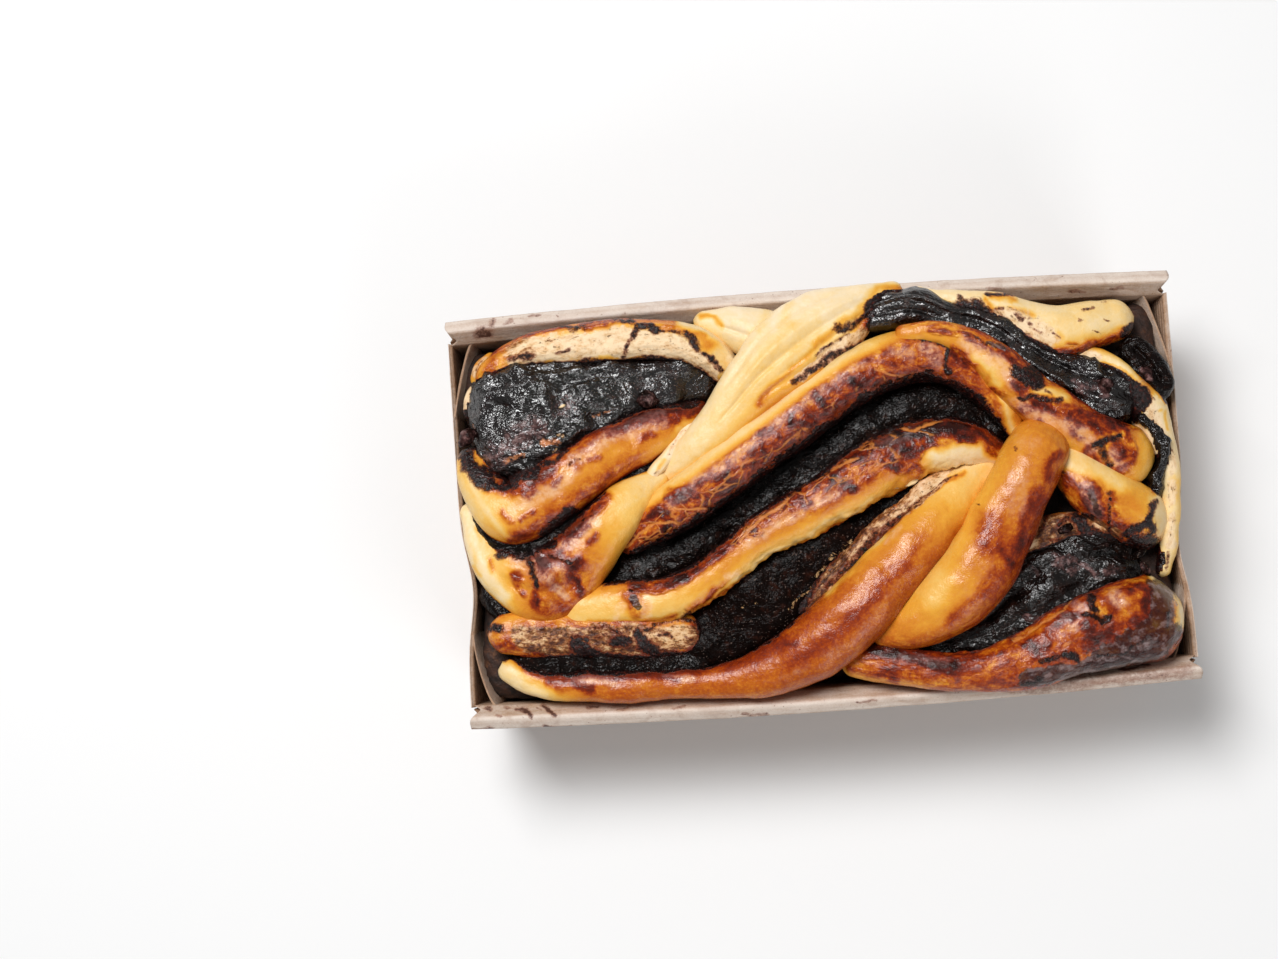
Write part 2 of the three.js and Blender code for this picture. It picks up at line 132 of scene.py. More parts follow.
def add_uv(mesh, uv, rings, around):
    """Gives each face corner its vertex's place on the surface, with the seam's last column moved on
    by a whole turn so that the pattern isn't squeezed there."""
    corners = np.empty(len(mesh.loops), np.int64)
    mesh.loops.foreach_get("vertex_index", corners)
    ends = np.array([uv[0].mean(0), uv[-1].mean(0)])
    flat = np.concatenate([uv.reshape(-1, 2), ends])[corners]
    starts = np.empty(len(mesh.polygons), np.int64)
    sizes = np.empty(len(mesh.polygons), np.int64)
    mesh.polygons.foreach_get("loop_start", starts)
    mesh.polygons.foreach_get("loop_total", sizes)
    face_of = np.repeat(np.arange(len(starts)), sizes)
    wraps = (face_of < (rings - 1) * around) & (face_of % around == around - 1)
    wraps &= corners % around == 0
    turn = (uv[:, -1, 1] + uv[:, 1, 1] - uv[:, 0, 1]).max()
    flat[wraps, 1] += turn
    layer = mesh.uv_layers.new(name="surface")
    layer.data.foreach_set("uv", flat.reshape(-1).astype(np.float32))


def outward(loops):
    """The unit normals of rings of points: the cross product of the steps round and along them."""
    along = np.gradient(loops, axis=0)
    around = (np.roll(loops, -1, axis=1) - np.roll(loops, 1, axis=1)) / 2
    normal = np.cross(around, along)
    return normal / np.maximum(np.linalg.norm(normal, axis=-1, keepdims=True), 1e-9)


def through(rows, at):
    """The Catmull-Rom curve through the rows, at shares from 0 to 1 that are even from row to row."""
    rows = np.asarray(rows, float)
    guarded = np.vstack([2 * rows[0] - rows[1], rows, 2 * rows[-1] - rows[-2]])
    place = np.clip(at, 0, 1) * (len(rows) - 1)
    span = np.minimum(place.astype(int), len(rows) - 2)
    t = (place - span)[:, None]
    a, b, c, d = (guarded[span + k] for k in range(4))
    return 0.5 * (2 * b + (c - a) * t + (2 * a - 5 * b + 4 * c - d) * t**2 + (3 * b - a - 3 * c + d) * t**3)


# ---- Strands ------------------------------------------------------------------------------
# A strand's path has rows of [x, y, half width, height of the crest, bake of the left flank, of the
# crown, of the right flank], for someone who walks along it. Bake runs from 0, pale dough, to 1,
# nearly black. Shares across run from -1 at the right edge to 1 at the left, shares along from 0 at
# the start to 1 at the end. A strand's other words, of which it may leave out all but flat:
#   flat: the section's half height as a share of its half width
#   square: the power of the section's sine and cosine, lower for a squarer one
#   turn: the shares across from where to where the bake turns from the crown's to a flank's
#   mottle: how uneven deep crust is        soak: how much the chocolate beside it stains it
#   knobs: how far small knobs stand out    ragged: [1 left or -1 right, depth] of a torn edge
#   creases: [share across, half width as a share, depth, start, end] each, or ridges below depth 0
#   swells: [x, y, radius, height] each
#   bands: strokes along the strand, [share across, half width as a share, strength, start, end] each
#   marks: brush strokes of each kind, [half width, strength, x, y, x, y, ...] each, whose places are
#     those of the level plane at MARK_Z, as seen from the camera's place
# The kinds of mark and band:
#   choc: chocolate smeared or run      brown: deeper crust         cream, yellow: paler crust
#   crumb: open, torn or cut dough      gold: a crack that shows the dough
#   crack: a patch with a net of such cracks
#   haze: a painted highlight, a rosy sheen of light on the glaze
#   film: a dark skin of chocolate with a painted grey reflection of light on it

STRANDS = {
    "arch": dict(flat=0.95,
        path=[[-108.5, 41, 2, 62, 0.34, 0.3, 0.4], [-103.5, 49.5, 3.4, 67, 0.32, 0.28, 0.3],
              [-93, 54, 5, 70, 0.3, 0.1, 0.1], [-78, 55.4, 6.6, 72, 0.4, 0.06, 0.08],
              [-60, 55.4, 6.6, 72, 0.5, 0.06, 0.08], [-44, 54, 6.5, 71, 0.4, 0.08, 0.08],
              [-33, 49.8, 6.5, 69, 0.15, 0.16, 0.15], [-25, 40, 5, 64, 0.1, 0.15, 0.2]],
        creases=[[0.62, 0.14, -0.5, 0, 1], [0.1, 0.5, 0.7, 0.1, 0.9]],
        bands=dict(
            choc=[[-1, 0.1, 0.6, 0.1, 1]]),
        marks=dict(
            brown=[[2.4, 0.7, -109, 42, -106, 48, -101, 53],
                   [2.2, 0.9, -101, 54, -95, 57.6, -88, 60.4, -80, 61.6],
                   [1.4, 1, -98, 52, -92, 54, -86, 53.6], [1.2, 0.9, -85, 57, -81, 55.8],
                   [1.6, 0.6, -98, 53, -99, 50, -96, 49], [1.8, 1, -72, 61, -65, 61.6],
                   [2, 0.8, -46, 58.6, -39, 57.4, -34.6, 54.6, -31.4, 51]],
            choc=[[1.3, 0.8, -97, 51.6, -93, 52.4, -90, 52.6], [0.9, 0.8, -82, 53, -77.5, 54],
                  [1.1, 0.9, -80, 61, -76, 60.3, -72, 61], [1.2, 0.9, -63, 61.6, -60, 61.2, -56, 61.4],
                  [1.3, 1, -54.5, 60.5, -55.8, 58.4, -57.3, 56],
                  [0.9, 1, -57.3, 56, -58.8, 53.6, -59.8, 51, -60.6, 48.6],
                  [1.5, 1, -54, 60, -50.5, 60, -48.6, 58.4],
                  [0.7, 0.9, -48.6, 58.4, -44, 57.4, -40, 56.4],
                  [1.3, 1, -41, 56.4, -38, 54, -35.4, 51.2], [1.3, 1, -33.6, 49, -32, 47, -31, 46],
                  [1.2, 0.9, -30.6, 45, -28.6, 43]],
            crumb=[[4.6, 1, -94, 53, -76, 54.6, -60, 55, -46, 53], [3.4, 1, -46, 53, -38, 49, -32, 43]],
            cream=[[2, 1, -41, 60, -33, 57.4, -27, 52, -24, 46]])),
    "knuckle": dict(flat=0.92, square=0.8, mottle=0.6, turn=[0.1, 0.8],
        path=[[-113, 24, 3.5, 64, 0.3, 0.42, 0.3], [-109.6, 13.4, 6.6, 70, 0.4, 0.26, 0.16],
              [-104.4, 5.6, 9.2, 74, 0.5, 0.22, 0.2], [-98.4, 2.8, 11, 75.4, 0.52, 0.3, 0.4],
              [-91, 5.8, 11, 76, 0.52, 0.38, 0.52], [-78, 12.8, 9.8, 75, 0.54, 0.38, 0.56],
              [-64, 20.2, 9, 73, 0.58, 0.4, 0.54], [-50, 25.9, 7, 70, 0.66, 0.46, 0.3],
              [-34, 32, 3, 64, 0.62, 0.56, 0.36]],
        swells=[[-84, 6, 4, -0.9], [-93, 11, 4, 1.1], [-70, 22, 4, 0.7], [-100, -5, 4, 1.2]],
        bands=dict(
            choc=[[1, 0.16, 0.9, 0, 1]]),
        marks=dict(
            choc=[[3, 1, -113, 21, -110.5, 16, -107, 13.4], [1.6, 1, -108, 12, -103, 11, -98, 11.6],
                  [2.6, 1, -104, 15.6, -98, 14.4, -91, 14.4], [1.2, 1, -89, 17, -84, 18, -80, 21],
                  [0.9, 0.8, -80.6, 15.4, -77, 17.4], [1.6, 1, -60, 33, -50, 32.6, -38, 33],
                  [2, 1, -90, -4.6, -85, -1.6, -80, 1.6]],
            brown=[[2.2, 1, -106, 11, -100, 9.6, -92, 11, -86, 15], [1.6, 1, -97, 10, -94.6, 6.6],
                   [1.2, 0.9, -93.6, 7, -91.6, 8.4], [1.3, 0.9, -86, 11, -83, 13],
                   [1.2, 0.9, -74, 17, -70, 18], [1.2, 0.9, -103, 3, -101, 0],
                   [1.1, 0.8, -97, 0, -93, 2], [1.3, 0.7, -78, 15, -77, 16],
                   [1.4, 0.7, -56, 23, -54, 24], [1.6, 0.8, -66, 26, -60, 28],
                   [1.4, 0.9, -72, 26, -68, 27], [4, 1, -58, 30, -50, 31, -42, 32, -35, 31],
                   [2.6, 0.8, -100, -5, -94, -5, -88, -2]],
            haze=[[3, 0.9, -99, 3, -92, 6.4, -86, 9, -80, 13], [2.6, 0.9, -78, 17, -70, 21.6, -64, 26],
                  [3, 1, -60, 26, -50, 29]],
            cream=[[1.2, 0.6, -114.8, 22, -112, 13, -109, 6.4, -105.4, 0, -102, -4],
                   [1.6, 0.6, -44, 25.4, -37, 29]])),
    "elbow": dict(flat=0.86, square=0.72, mottle=0.8,
        path=[[-114.6, 7, 3.2, 60, 0.1, 0.08, 0.1], [-110.8, -6, 5.4, 64, 0.26, 0.14, 0.05],
              [-104.6, -16, 8, 67.4, 0.44, 0.24, 0.12], [-97, -20.6, 10.8, 70, 0.55, 0.4, 0.3],
              [-91, -21.9, 12.6, 71, 0.6, 0.5, 0.48], [-85.4, -19.4, 12.2, 72, 0.62, 0.52, 0.48],
              [-78, -13, 10.8, 73, 0.62, 0.44, 0.42], [-70, -4.9, 9, 74, 0.55, 0.3, 0.28],
              [-61.2, 3.6, 6.8, 72.6, 0.24, 0.17, 0.24], [-49, 12, 2.8, 67, 0.1, 0.1, 0.3]],
        creases=[[0.05, 0.16, -1.5, 0.3, 0.52], [0.42, 0.1, 0.7, 0.34, 0.5], [-0.5, 0.3, 0.7, 0.3, 0.6]],
        swells=[[-91, -12, 3.2, 2.4], [-89.6, -20, 3, 1.6], [-90, -27, 3, 1.2], [-97, -20, 4, -1.6],
                [-82, -23, 5, -1.6], [-101, -11, 3, 1.4]],
        bands=dict(
            choc=[[1, 0.16, 0.7, 0.15, 0.8]]),
        marks=dict(
            brown=[[1.3, 1, -111, 2, -112, -4, -111.6, -12], [1, 1, -108.4, -2, -108, -6],
                   [1.2, 0.9, -107.4, -12.6, -107, -15.4], [0.9, 0.8, -112.6, -14, -111, -17],
                   [2.6, 1, -92, -13, -90, -16], [2.8, 1, -84, -13.6, -80, -16],
                   [2, 1, -90, -8, -82, -4.4, -75, 0.4, -69, 4.6], [1.2, 0.9, -76, -10, -73, -7],
                   [1, 0.8, -78, -6, -76, -4.6], [1.4, 1, -93.6, -21, -93.2, -28],
                   # the weak stroke from (-92, -29) to (-86, -30) is a painted shadow under the elbow's
                   # lower tip
                   [2, 0.4, -92, -29, -86, -30], [1.6, 1, -82, -20, -79, -25],
                   [1.4, 0.9, -100, -18, -98, -24], [0.8, 0.8, -79, -23.6, -78, -24.4]],
            cream=[[2.2, 1, -114, 4, -113, -6, -108.6, -17, -104, -25], [2, 0.9, -109, 2, -106.6, -6]],
            choc=[[2.2, 1, -103, -10.4, -97, -12, -92, -11, -88, -9],
                  [1.4, 1, -95.6, -14, -94.4, -18, -92.6, -21],
                  [0.9, 1, -88, -13, -84, -13.6, -81, -15.6], [0.9, 0.9, -86, -6, -80, -2.6, -73, 0.6]],
            film=[[1.2, 1, -100, -11.4, -95, -12, -91, -10.6]],
            haze=[[3.4, 1, -97, -14, -90, -15.4, -85, -15.6], [2, 0.9, -92, -18, -88, -19],
                  [2.4, 1, -84, -9, -79, -7, -74, -2], [1.4, 1, -87, -23, -84, -27]])),
    "pale": dict(flat=0.62,
        path=[[31, 65.5, 2.5, 68, 0.4, 0.2, 0.05], [21, 62, 6.2, 72, 0.4, 0.06, 0.02],
              [8, 55.6, 12.4, 75, 0.42, 0.06, 0.02], [-5, 47.6, 14.5, 77, 0.42, 0.12, 0.02],
              [-17, 39, 11, 77, 0.4, 0.16, 0.06], [-28, 28.5, 8, 75, 0.3, 0.14, 0.08],
              [-39, 19, 6, 72, 0.26, 0.1, 0.08], [-52, 9.5, 3, 66, 0.2, 0.1, 0.1]],
        creases=[[-0.7, 0.09, 0.8, 0.2, 0.62], [-0.3, 0.1, -0.6, 0.14, 0.6],
                 [-0.05, 0.07, 0.7, 0.2, 0.7], [0.3, 0.06, 0.6, 0.12, 0.5], [0.5, 0.1, 0.8, 0.1, 0.6]],
        marks=dict(
            yellow=[[2, 0.9, -6, 56, -12, 49, -19, 41], [2.6, 0.8, 3, 55, -5, 49, -14, 41],
                    [1.4, 0.7, -12, 62, -16, 56], [1.4, 0.6, -4, 63, -9, 57]],
            crumb=[[2.8, 1, 25, 52.4, 18, 51.4, 12, 48.4, 5, 44.6], [1.6, 1, 5, 44.6, 0, 42, -4, 39]],
            choc=[[1.4, 0.9, 15, 55, 10, 53, 9, 54], [1.5, 0.9, 20, 58.6, 16.6, 56.4],
                  [1.3, 0.9, 16, 49, 9, 46, 4, 43, -1, 40.6, -6, 37.6],
                  [0.8, 0.7, 13, 52, 6, 48.4, 2, 46]],
            brown=[[1.6, 0.8, 30, 66, 24, 66, 19.6, 62.6, 16, 59, 9, 54, 2, 49],
                   [1.2, 0.6, 2, 49, -6, 43, -14, 36, -18, 32]])),
    "pale_fold": dict(flat=0.9, soak=0.4,
        path=[[-37, 61, 3, 64, 0.1, 0.1, 0.2], [-27, 58.6, 6.2, 68.4, 0.02, 0.03, 0.14],
              [-16, 54.4, 8.8, 71.4, 0.03, 0.05, 0.12], [-6, 50, 8, 70, 0.03, 0.05, 0.1]],
        creases=[[-0.3, 0.12, 0.6, 0.3, 1]],
        marks=dict(
            brown=[[1.1, 0.9, -34.6, 61.6, -31, 61, -28.4, 57.6]],
            yellow=[[1.6, 0.7, -12, 63, -15.6, 58, -19, 52]])),
    "diagonal": dict(flat=1, square=0.84, turn=[0.2, 0.8],
        path=[[-66, -12, 4, 66, 0.42, 0.62, 0.76], [-55, -4.5, 7, 71, 0.26, 0.64, 0.78],
              [-42, 3, 8.5, 75, 0.16, 0.62, 0.8], [-26, 12.8, 8.7, 77, 0.12, 0.6, 0.8],
              [-10, 23, 8.7, 78, 0.12, 0.6, 0.8], [6, 33.5, 8.7, 78, 0.12, 0.58, 0.78],
              [20, 40.5, 8.6, 78, 0.18, 0.56, 0.76], [34, 43.5, 8.4, 77, 0.44, 0.55, 0.78],
              [46, 40, 7.5, 76, 0.55, 0.55, 0.64], [55, 32.5, 6.5, 74, 0.55, 0.5, 0.58],
              [61, 24, 5, 72, 0.42, 0.44, 0.48], [64.5, 14, 3, 67, 0.36, 0.36, 0.4]],
        bands=dict(
            haze=[[0.2, 0.24, 0.8, 0.12, 0.62]],
            brown=[[-0.4, 0.2, 0.3, 0.1, 0.6]],
            choc=[[-1, 0.3, 0.9, 0, 1]]),
        marks=dict(
            crack=[[4.4, 1, -62, -10, -52, -6, -44, -3], [3.2, 1, -46, -1, -34, 3, -22, 11],
                   [2, 0.6, -20, 12, -6, 21, 10, 32], [2, 0.6, 14, 34, 26, 37, 38, 36]],
            gold=[[0.6, 1, -64.6, -12, -60, -8, -54.6, -5, -49, -4.4, -46.4, -6],
                  [0.5, 1, -62, -13.4, -56, -11.2, -50.6, -9, -49, -6.4],
                  [0.5, 1, -47, 0, -40, -1, -34, -1, -29.4, 0.2, -27.4, 4],
                  [0.6, 0.9, 20, 40, 25, 38, 30, 36.4, 34, 36], [0.4, 0.8, 35, 35.6, 39.6, 35]],
            brown=[[1.6, 1, 0, 34, 1.4, 31, 3, 29], [1.6, 1, -18.6, 21.4, -16, 22],
                   [2, 1, -48, 5, -43, 4, -40, 2.6], [2, 1, -34, 8, -30, 9], [2, 1, -8, 24, -4, 25],
                   [2, 1, -56, -3, -50, -1], [2.2, 1, 12, 37, 16, 36], [1.6, 1, 46, 43, 50, 40]],
            choc=[[1.1, 1, 31, 50, 36, 48.6, 41, 47.6, 44, 46], [1.4, 1, 44.6, 45, 43.2, 40.6, 44, 37]],
            haze=[[3.4, 1, 38, 45.6, 40, 41], [2.6, 0.7, 26, 46, 32, 44]],
            yellow=[[1.4, 1, 60, 29, 62, 23, 63.6, 17]])),
    "upper_loop": dict(flat=0.9,
        path=[[27, 50, 2.5, 76, 0.5, 0.4, 0.3], [40, 49.6, 3.6, 78, 0.55, 0.36, 0.34],
              [50, 45.2, 5.6, 79, 0.6, 0.34, 0.44], [59, 37.6, 7, 79, 0.6, 0.34, 0.44],
              [67.6, 28.6, 7.6, 78, 0.6, 0.5, 0.4], [78, 20.6, 8, 76, 0.5, 0.46, 0.36],
              [88.4, 13, 8.6, 74, 0.6, 0.44, 0.3], [98, 7, 10, 73, 0.5, 0.4, 0.34],
              [108, 4.4, 8.8, 71, 0.3, 0.3, 0.3]],
        marks=dict(
            brown=[[1.3, 1, 40, 51.6, 49, 49.6, 57, 45.4, 64, 40.4, 69, 36],
                   [1, 0.8, 46, 45, 51, 42, 53, 40], [1.4, 0.9, 58, 36, 57, 31, 60, 29],
                   [2, 1, 66, 32, 69, 30.6], [2.4, 0.9, 66, 24, 72, 24.4, 78, 22.6],
                   [2.4, 1, 82, 19.6, 90, 17, 98, 16], [1.4, 0.8, 72, 18, 73.4, 17],
                   [1.2, 0.7, 82, 15.6, 84, 13], [2, 0.9, 93, 3, 94.2, -2],
                   [2.6, 1, 94, 10, 97, 7, 96, 3], [2, 1, 86, 8, 89, 5],
                   [1.4, 0.8, 99, 14, 100.6, 9, 99.4, 4], [0.9, 0.7, 93, -1.6, 97, -3.4, 101, -4]],
            choc=[[0.8, 0.9, 50, 49.4, 54, 48, 57.6, 46], [2.6, 1, 66, 36.4, 70, 34.6, 72, 32.6],
                  [1.3, 1, 66, 27.6, 72, 27.4, 75, 26, 78, 25.4], [0.7, 0.9, 74.6, 29.4, 76, 28.2],
                  [0.9, 0.9, 76, 15.6, 78, 13.6], [1.6, 0.9, 88, 10, 92, 12, 96, 12.6],
                  [1.5, 0.8, 91, 8.6, 93, 4]],
            film=[[1.2, 0.7, 58, 46.6, 62, 44]],
            haze=[[2.6, 1, 50, 47, 56, 43.6, 60, 40, 64, 33], [3, 1, 66, 26, 68, 22, 72, 20, 76, 19],
                  [2.6, 0.9, 80, 18, 85, 14, 88, 10], [2, 0.8, 93.6, 8, 96, 3]],
            yellow=[[2, 0.9, 54, 42, 58, 38, 59, 33], [1.8, 1, 72, 30, 77, 29, 80, 25.6],
                    [2.6, 0.4, 104, 11, 105, 3, 103, -1]])),
    "long_lower": dict(flat=0.95, mottle=0.12,
        path=[[-107, -46.5, 3.8, 62, 0.1, 0.08, 0.08], [-94, -53.8, 4.4, 65, 0.5, 0.34, 0.12],
              [-76, -55.4, 4.8, 67, 0.56, 0.5, 0.5], [-56, -56.2, 5.2, 68, 0.56, 0.5, 0.5],
              [-36, -56.8, 5.8, 69, 0.56, 0.52, 0.5], [-21, -54.4, 8.4, 72, 0.58, 0.52, 0.52],
              [-7, -48.4, 10.8, 76, 0.6, 0.52, 0.56], [7, -38.2, 11.2, 79, 0.5, 0.5, 0.56],
              [20, -25.6, 10.3, 79, 0.38, 0.45, 0.57], [34, -12.6, 9.5, 77, 0.3, 0.38, 0.54],
              [45, -1.6, 8, 73, 0.14, 0.22, 0.38], [58, 8, 4, 67, 0.1, 0.16, 0.36]],
        bands=dict(
            haze=[[-0.4, 0.3, 0.3, 0.42, 0.74]],
            brown=[[-0.05, 0.22, 0.5, 0.5, 0.8]],
            choc=[[1, 0.12, 0.6, 0.1, 0.6]]),
        marks=dict(
            crumb=[[1.8, 1, -6, -31, 2, -24, 10, -16.6, 20, -9.4, 30, -3.6, 40, 3.4]],
            brown=[[0.9, 1, -3, -31, 5, -24.4, 13, -17.6, 17, -13.6, 22, -10, 28, -5.6],
                   [1, 0.9, 28, -6, 34, -1.6, 40, 1.6, 46, 4.4], [2.2, 0.9, -91, -51.6, -87, -53.6],
                   [1.5, 1, -84, -54, -78, -55.4], [1.4, 0.8, -56, -54, -50, -55],
                   [3, 0.4, -34, -52, -26, -50, -18, -46.6], [1.6, 0.6, -16, -45, -12, -46.6]],
            choc=[[0.9, 0.9, 4, -23, 12, -15, 20, -8.4, 26, -4.6], [0.6, 0.8, 32, -2, 38, 1.6, 44, 4]],
            gold=[[0.6, 0.6, 17, -10, 25, -3.6]],
            haze=[[1.5, 1, -84, -52.4, -76, -53, -70, -54.4], [1.6, 1, -54, -53.4, -46, -55.4],
                  [1.6, 0.6, 20, -16, 25, -11.6]],
            cream=[[1.8, 0.7, -1, -30, 8, -21, 18, -13.6], [2.6, 0.8, -104, -49, -99, -54, -93, -56]])),
    "plump": dict(flat=0.9, mottle=0.3,
        path=[[75, 19, 9, 78, 0.44, 0.42, 0.42], [67.3, 6.5, 10.3, 82, 0.55, 0.42, 0.37],
              [60.3, -5.5, 10.7, 82, 0.64, 0.46, 0.3], [54, -16.8, 11.6, 82, 0.66, 0.48, 0.28],
              [46.5, -27.6, 12, 81, 0.6, 0.42, 0.26], [37, -36.6, 11.4, 79, 0.55, 0.35, 0.26],
              [26, -42.6, 8.6, 75, 0.55, 0.38, 0.28], [12, -44.5, 4, 68, 0.5, 0.48, 0.42]],
        marks=dict(
            haze=[[5, 0.5, 64, 3, 63, -3, 62, -6.6], [4, 0.4, 66, 14, 70, 12],
                  [4, 0.25, 52, -26, 48, -30, 44, -34]],
            brown=[[4.6, 0.6, 51, -12, 52, -18], [1.6, 0.8, 56, -20.6, 59, -25],
                   [2.4, 0.6, 69, -4, 65, -12, 61, -20], [1.6, 0.7, 77, 8, 74, 5, 72, 1],
                   [0.9, 0.7, 76, 8.6, 74.6, 7], [2, 0.5, 54, -27, 47, -35, 38, -42]],
            choc=[[0.6, 0.9, 63.6, 12, 63.6, 11], [0.5, 0.8, 50, -5.4, 50.4, -6]],
            yellow=[[4, 0.6, 36, -30, 33, -36]])),
    "second_diagonal": dict(flat=0.95, square=0.84, turn=[0.1, 0.75], ragged=[-1, 1.3],
        path=[[-88, -29.5, 7, 67, 0.3, 0.2, 0.16], [-66, -29.6, 7.4, 70, 0.44, 0.24, 0.22],
              [-50, -28.6, 7, 72, 0.7, 0.24, 0.22], [-37, -23, 7, 73, 0.74, 0.34, 0.26],
              [-24, -13.6, 6.6, 74, 0.7, 0.4, 0.26], [-10, -6.5, 7.9, 75, 0.74, 0.46, 0.28],
              [4, 0.2, 8.7, 76, 0.76, 0.52, 0.3], [16, 7, 9.2, 76, 0.8, 0.58, 0.32],
              [28, 12.4, 9.2, 76, 0.82, 0.66, 0.36], [40, 14.5, 8.3, 75, 0.82, 0.64, 0.14],
              [50, 13, 6.6, 72, 0.78, 0.62, 0.06], [60, 8.5, 3, 67, 0.7, 0.56, 0.1]],
        bands=dict(
            haze=[[0.05, 0.3, 0.8, 0.4, 0.66]],
            choc=[[1, 0.2, 0.9, 0.1, 1]],
            cream=[[-0.86, 0.1, 0.6, 0.3, 0.7]]),
        marks=dict(
            crack=[[3, 1, -27, -12, -20, -7, -12, -3, 0, 5, 12, 12], [3, 0.9, 12, 14, 24, 19, 36, 19],
                   [2.8, 0.8, 4, 4, 14, 8, 24, 12]],
            gold=[[0.8, 1, -27, -12, -23, -8, -19, -5.4, -12, -1, -5, 5, 1, 7, 8, 10.6, 12, 11.6],
                  [0.8, 1, 8, 14.6, 14, 16.6, 20, 20, 26, 21.4, 31, 20, 36, 21, 42, 23.4],
                  [0.5, 0.9, -24, -7.4, -24.6, -11, -21.6, -11.6, -20, -8],
                  [0.4, 0.9, -12, -1, -13.4, -4, -13, -7], [0.4, 0.9, 16.4, 17, 16.6, 14, 15.4, 11]],
            brown=[[1.3, 1, -22, -9.4, -20.6, -9.6], [2.4, 1, 20, 18, 25, 19.6],
                   [3, 0.9, 26, 17, 34, 18.6, 44, 20], [1.6, 1, 5, 5, 9, 3.4], [1.6, 1, -8, -3, -4, -2],
                   [1.8, 1, 21, 9, 26, 8, 32, 6.4], [2.6, 0.8, 24, 12, 32, 12, 36, 14],
                   [1.8, 1, 46, 16, 52, 14.6, 54, 12], [3, 1, -63, -27, -61, -32.6],
                   [2, 1, -62, -24.6, -54, -25.6, -46, -23],
                   [1.2, 0.9, -77, -35.4, -70, -35.6, -62, -37, -57, -35.6, -50, -35],
                   [2, 1, -44, -33, -40, -31.6, -36, -28.6, -31, -27]],
            film=[[1.8, 0.7, 24, 19.6, 30, 18], [1.4, 1, -62.6, -28, -61, -31]],
            haze=[[2, 0.8, 20, 16, 28, 16.6], [2.2, 1, -59, -29, -58, -33],
                  [1.8, 0.8, -68, -33.6, -66, -31], [1.6, 0.8, -32, -23.6, -28, -22]],
            cream=[[3.4, 1, 38, 10.6, 45, 11, 51, 11]],
            choc=[[0.9, 0.9, -63.6, -25, -61, -26], [1.6, 0.9, -46, -34.4, -41, -34.4]])),
    "cut_band": dict(flat=0.7, soak=0.8,
        path=[[-110.4, -36.4, 5.4, 65, 0.46, 0.44, 0.36], [-104, -36.6, 6.6, 66.4, 0.34, 0.44, 0.4],
              [-92, -37.4, 7.8, 67.4, 0.3, 0.56, 0.56], [-78, -38.4, 8.2, 67.8, 0.3, 0.58, 0.64],
              [-66, -38.9, 8.4, 68, 0.34, 0.56, 0.64], [-52, -40.4, 8, 68, 0.4, 0.4, 0.54],
              [-41, -41.2, 5.8, 66, 0.4, 0.4, 0.54]],
        marks=dict(
            crumb=[[4.6, 1, -98, -38.6, -88, -40, -74, -40.4, -60, -41.6, -44, -42]],
            choc=[[1.6, 0.9, -110.4, -34, -107, -34.6, -105, -35.6],
                  [2.2, 1, -83, -41, -79, -43.6, -75.6, -45], [1.2, 1, -82, -39.6, -78, -40.6],
                  [0.9, 0.9, -77, -37, -73, -36.6, -68.6, -38, -66.4, -40.6],
                  [1.8, 1, -69, -41, -65.6, -41.6], [0.8, 0.8, -75, -39.6, -72, -39, -71, -42],
                  [2.4, 1, -61.4, -40, -60, -43, -57, -45.4],
                  [1, 1, -60, -39, -56, -36.4, -50, -35.6, -44, -36, -41, -38.4],
                  [0.9, 0.9, -55, -40, -52, -40, -51, -41.4], [0.7, 0.8, -47, -41, -45, -43],
                  [0.8, 0.9, -56, -44, -52.6, -46.6, -47, -47.6]],
            haze=[[1.4, 0.8, -109, -33, -110, -36]],
            brown=[[2.2, 0.7, -107, -40, -103, -41], [1.4, 0.5, -98, -42.6, -88, -43]])),
    "right_knuckle": dict(flat=0.9,
        path=[[76, 12, 3.6, 71, 0.1, 0.12, 0.3], [83.4, 1, 8.6, 73.4, 0.1, 0.26, 0.5],
              [91.6, -6.8, 9.6, 73.4, 0.2, 0.42, 0.62], [100.6, -13.4, 10, 71.6, 0.3, 0.34, 0.6],
              [110.8, -17.6, 8.8, 67, 0.1, 0.1, 0.2]],
        marks=dict(
            brown=[[2.6, 1, 79, 0, 84, -2, 88, -4, 89, -10], [2.2, 0.8, 84.6, -6, 86, -12],
                   [1.2, 0.8, 90, -1, 93, -5, 93.6, -12], [1.6, 0.8, 93, -16, 97, -17],
                   [1.6, 0.9, 107, -20, 107.6, -25]],
            haze=[[3, 1, 85, -4, 87, -9, 86, -12], [1.6, 0.8, 107.6, -20, 107, -24]],
            film=[[2, 0.7, 86, -5, 87.4, -11], [1.2, 0.8, 76.6, -4, 78, -8]],
            choc=[[2, 1, 75, -6, 75.4, -9, 79, -11, 84, -12.6],
                  [0.9, 1, 92.4, -4.6, 91.8, -9, 91.2, -13, 91.4, -17.6], [0.9, 0.8, 77, 3, 79.4, 2],
                  [1.5, 1, 106, -9.4, 105, -13, 105.4, -19], [2, 1, 104, -14, 99.4, -16, 96, -19],
                  [4, 1, 99, -22, 103, -22, 104.6, -24]],
            yellow=[[2.6, 1, 80, 9, 86, 4.6, 91.6, 0, 96, -3]],
            cream=[[2, 0.7, 80, 6, 84, 4], [2.4, 1, 107.4, -8, 109.8, -14, 109, -20]],
            crumb=[[1.4, 0.9, 86, -13.6, 90.6, -16.6, 95, -18.8]])),
    "lower_right": dict(flat=0.85, mottle=0.7, ragged=[1, 0.6],
        path=[[2, -52, 4.5, 66, 0.7, 0.4, 0.2], [16, -54.4, 6.2, 69, 0.76, 0.6, 0.4],
              [30, -57.4, 6.4, 71, 0.74, 0.62, 0.5], [46, -59.2, 6.6, 71, 0.62, 0.6, 0.58],
              [60, -57, 9, 72, 0.58, 0.6, 0.62], [74, -52, 11.6, 74, 0.58, 0.58, 0.66],
              [88, -48, 13.6, 75, 0.54, 0.56, 0.74], [101, -46.2, 14, 75, 0.5, 0.56, 0.74],
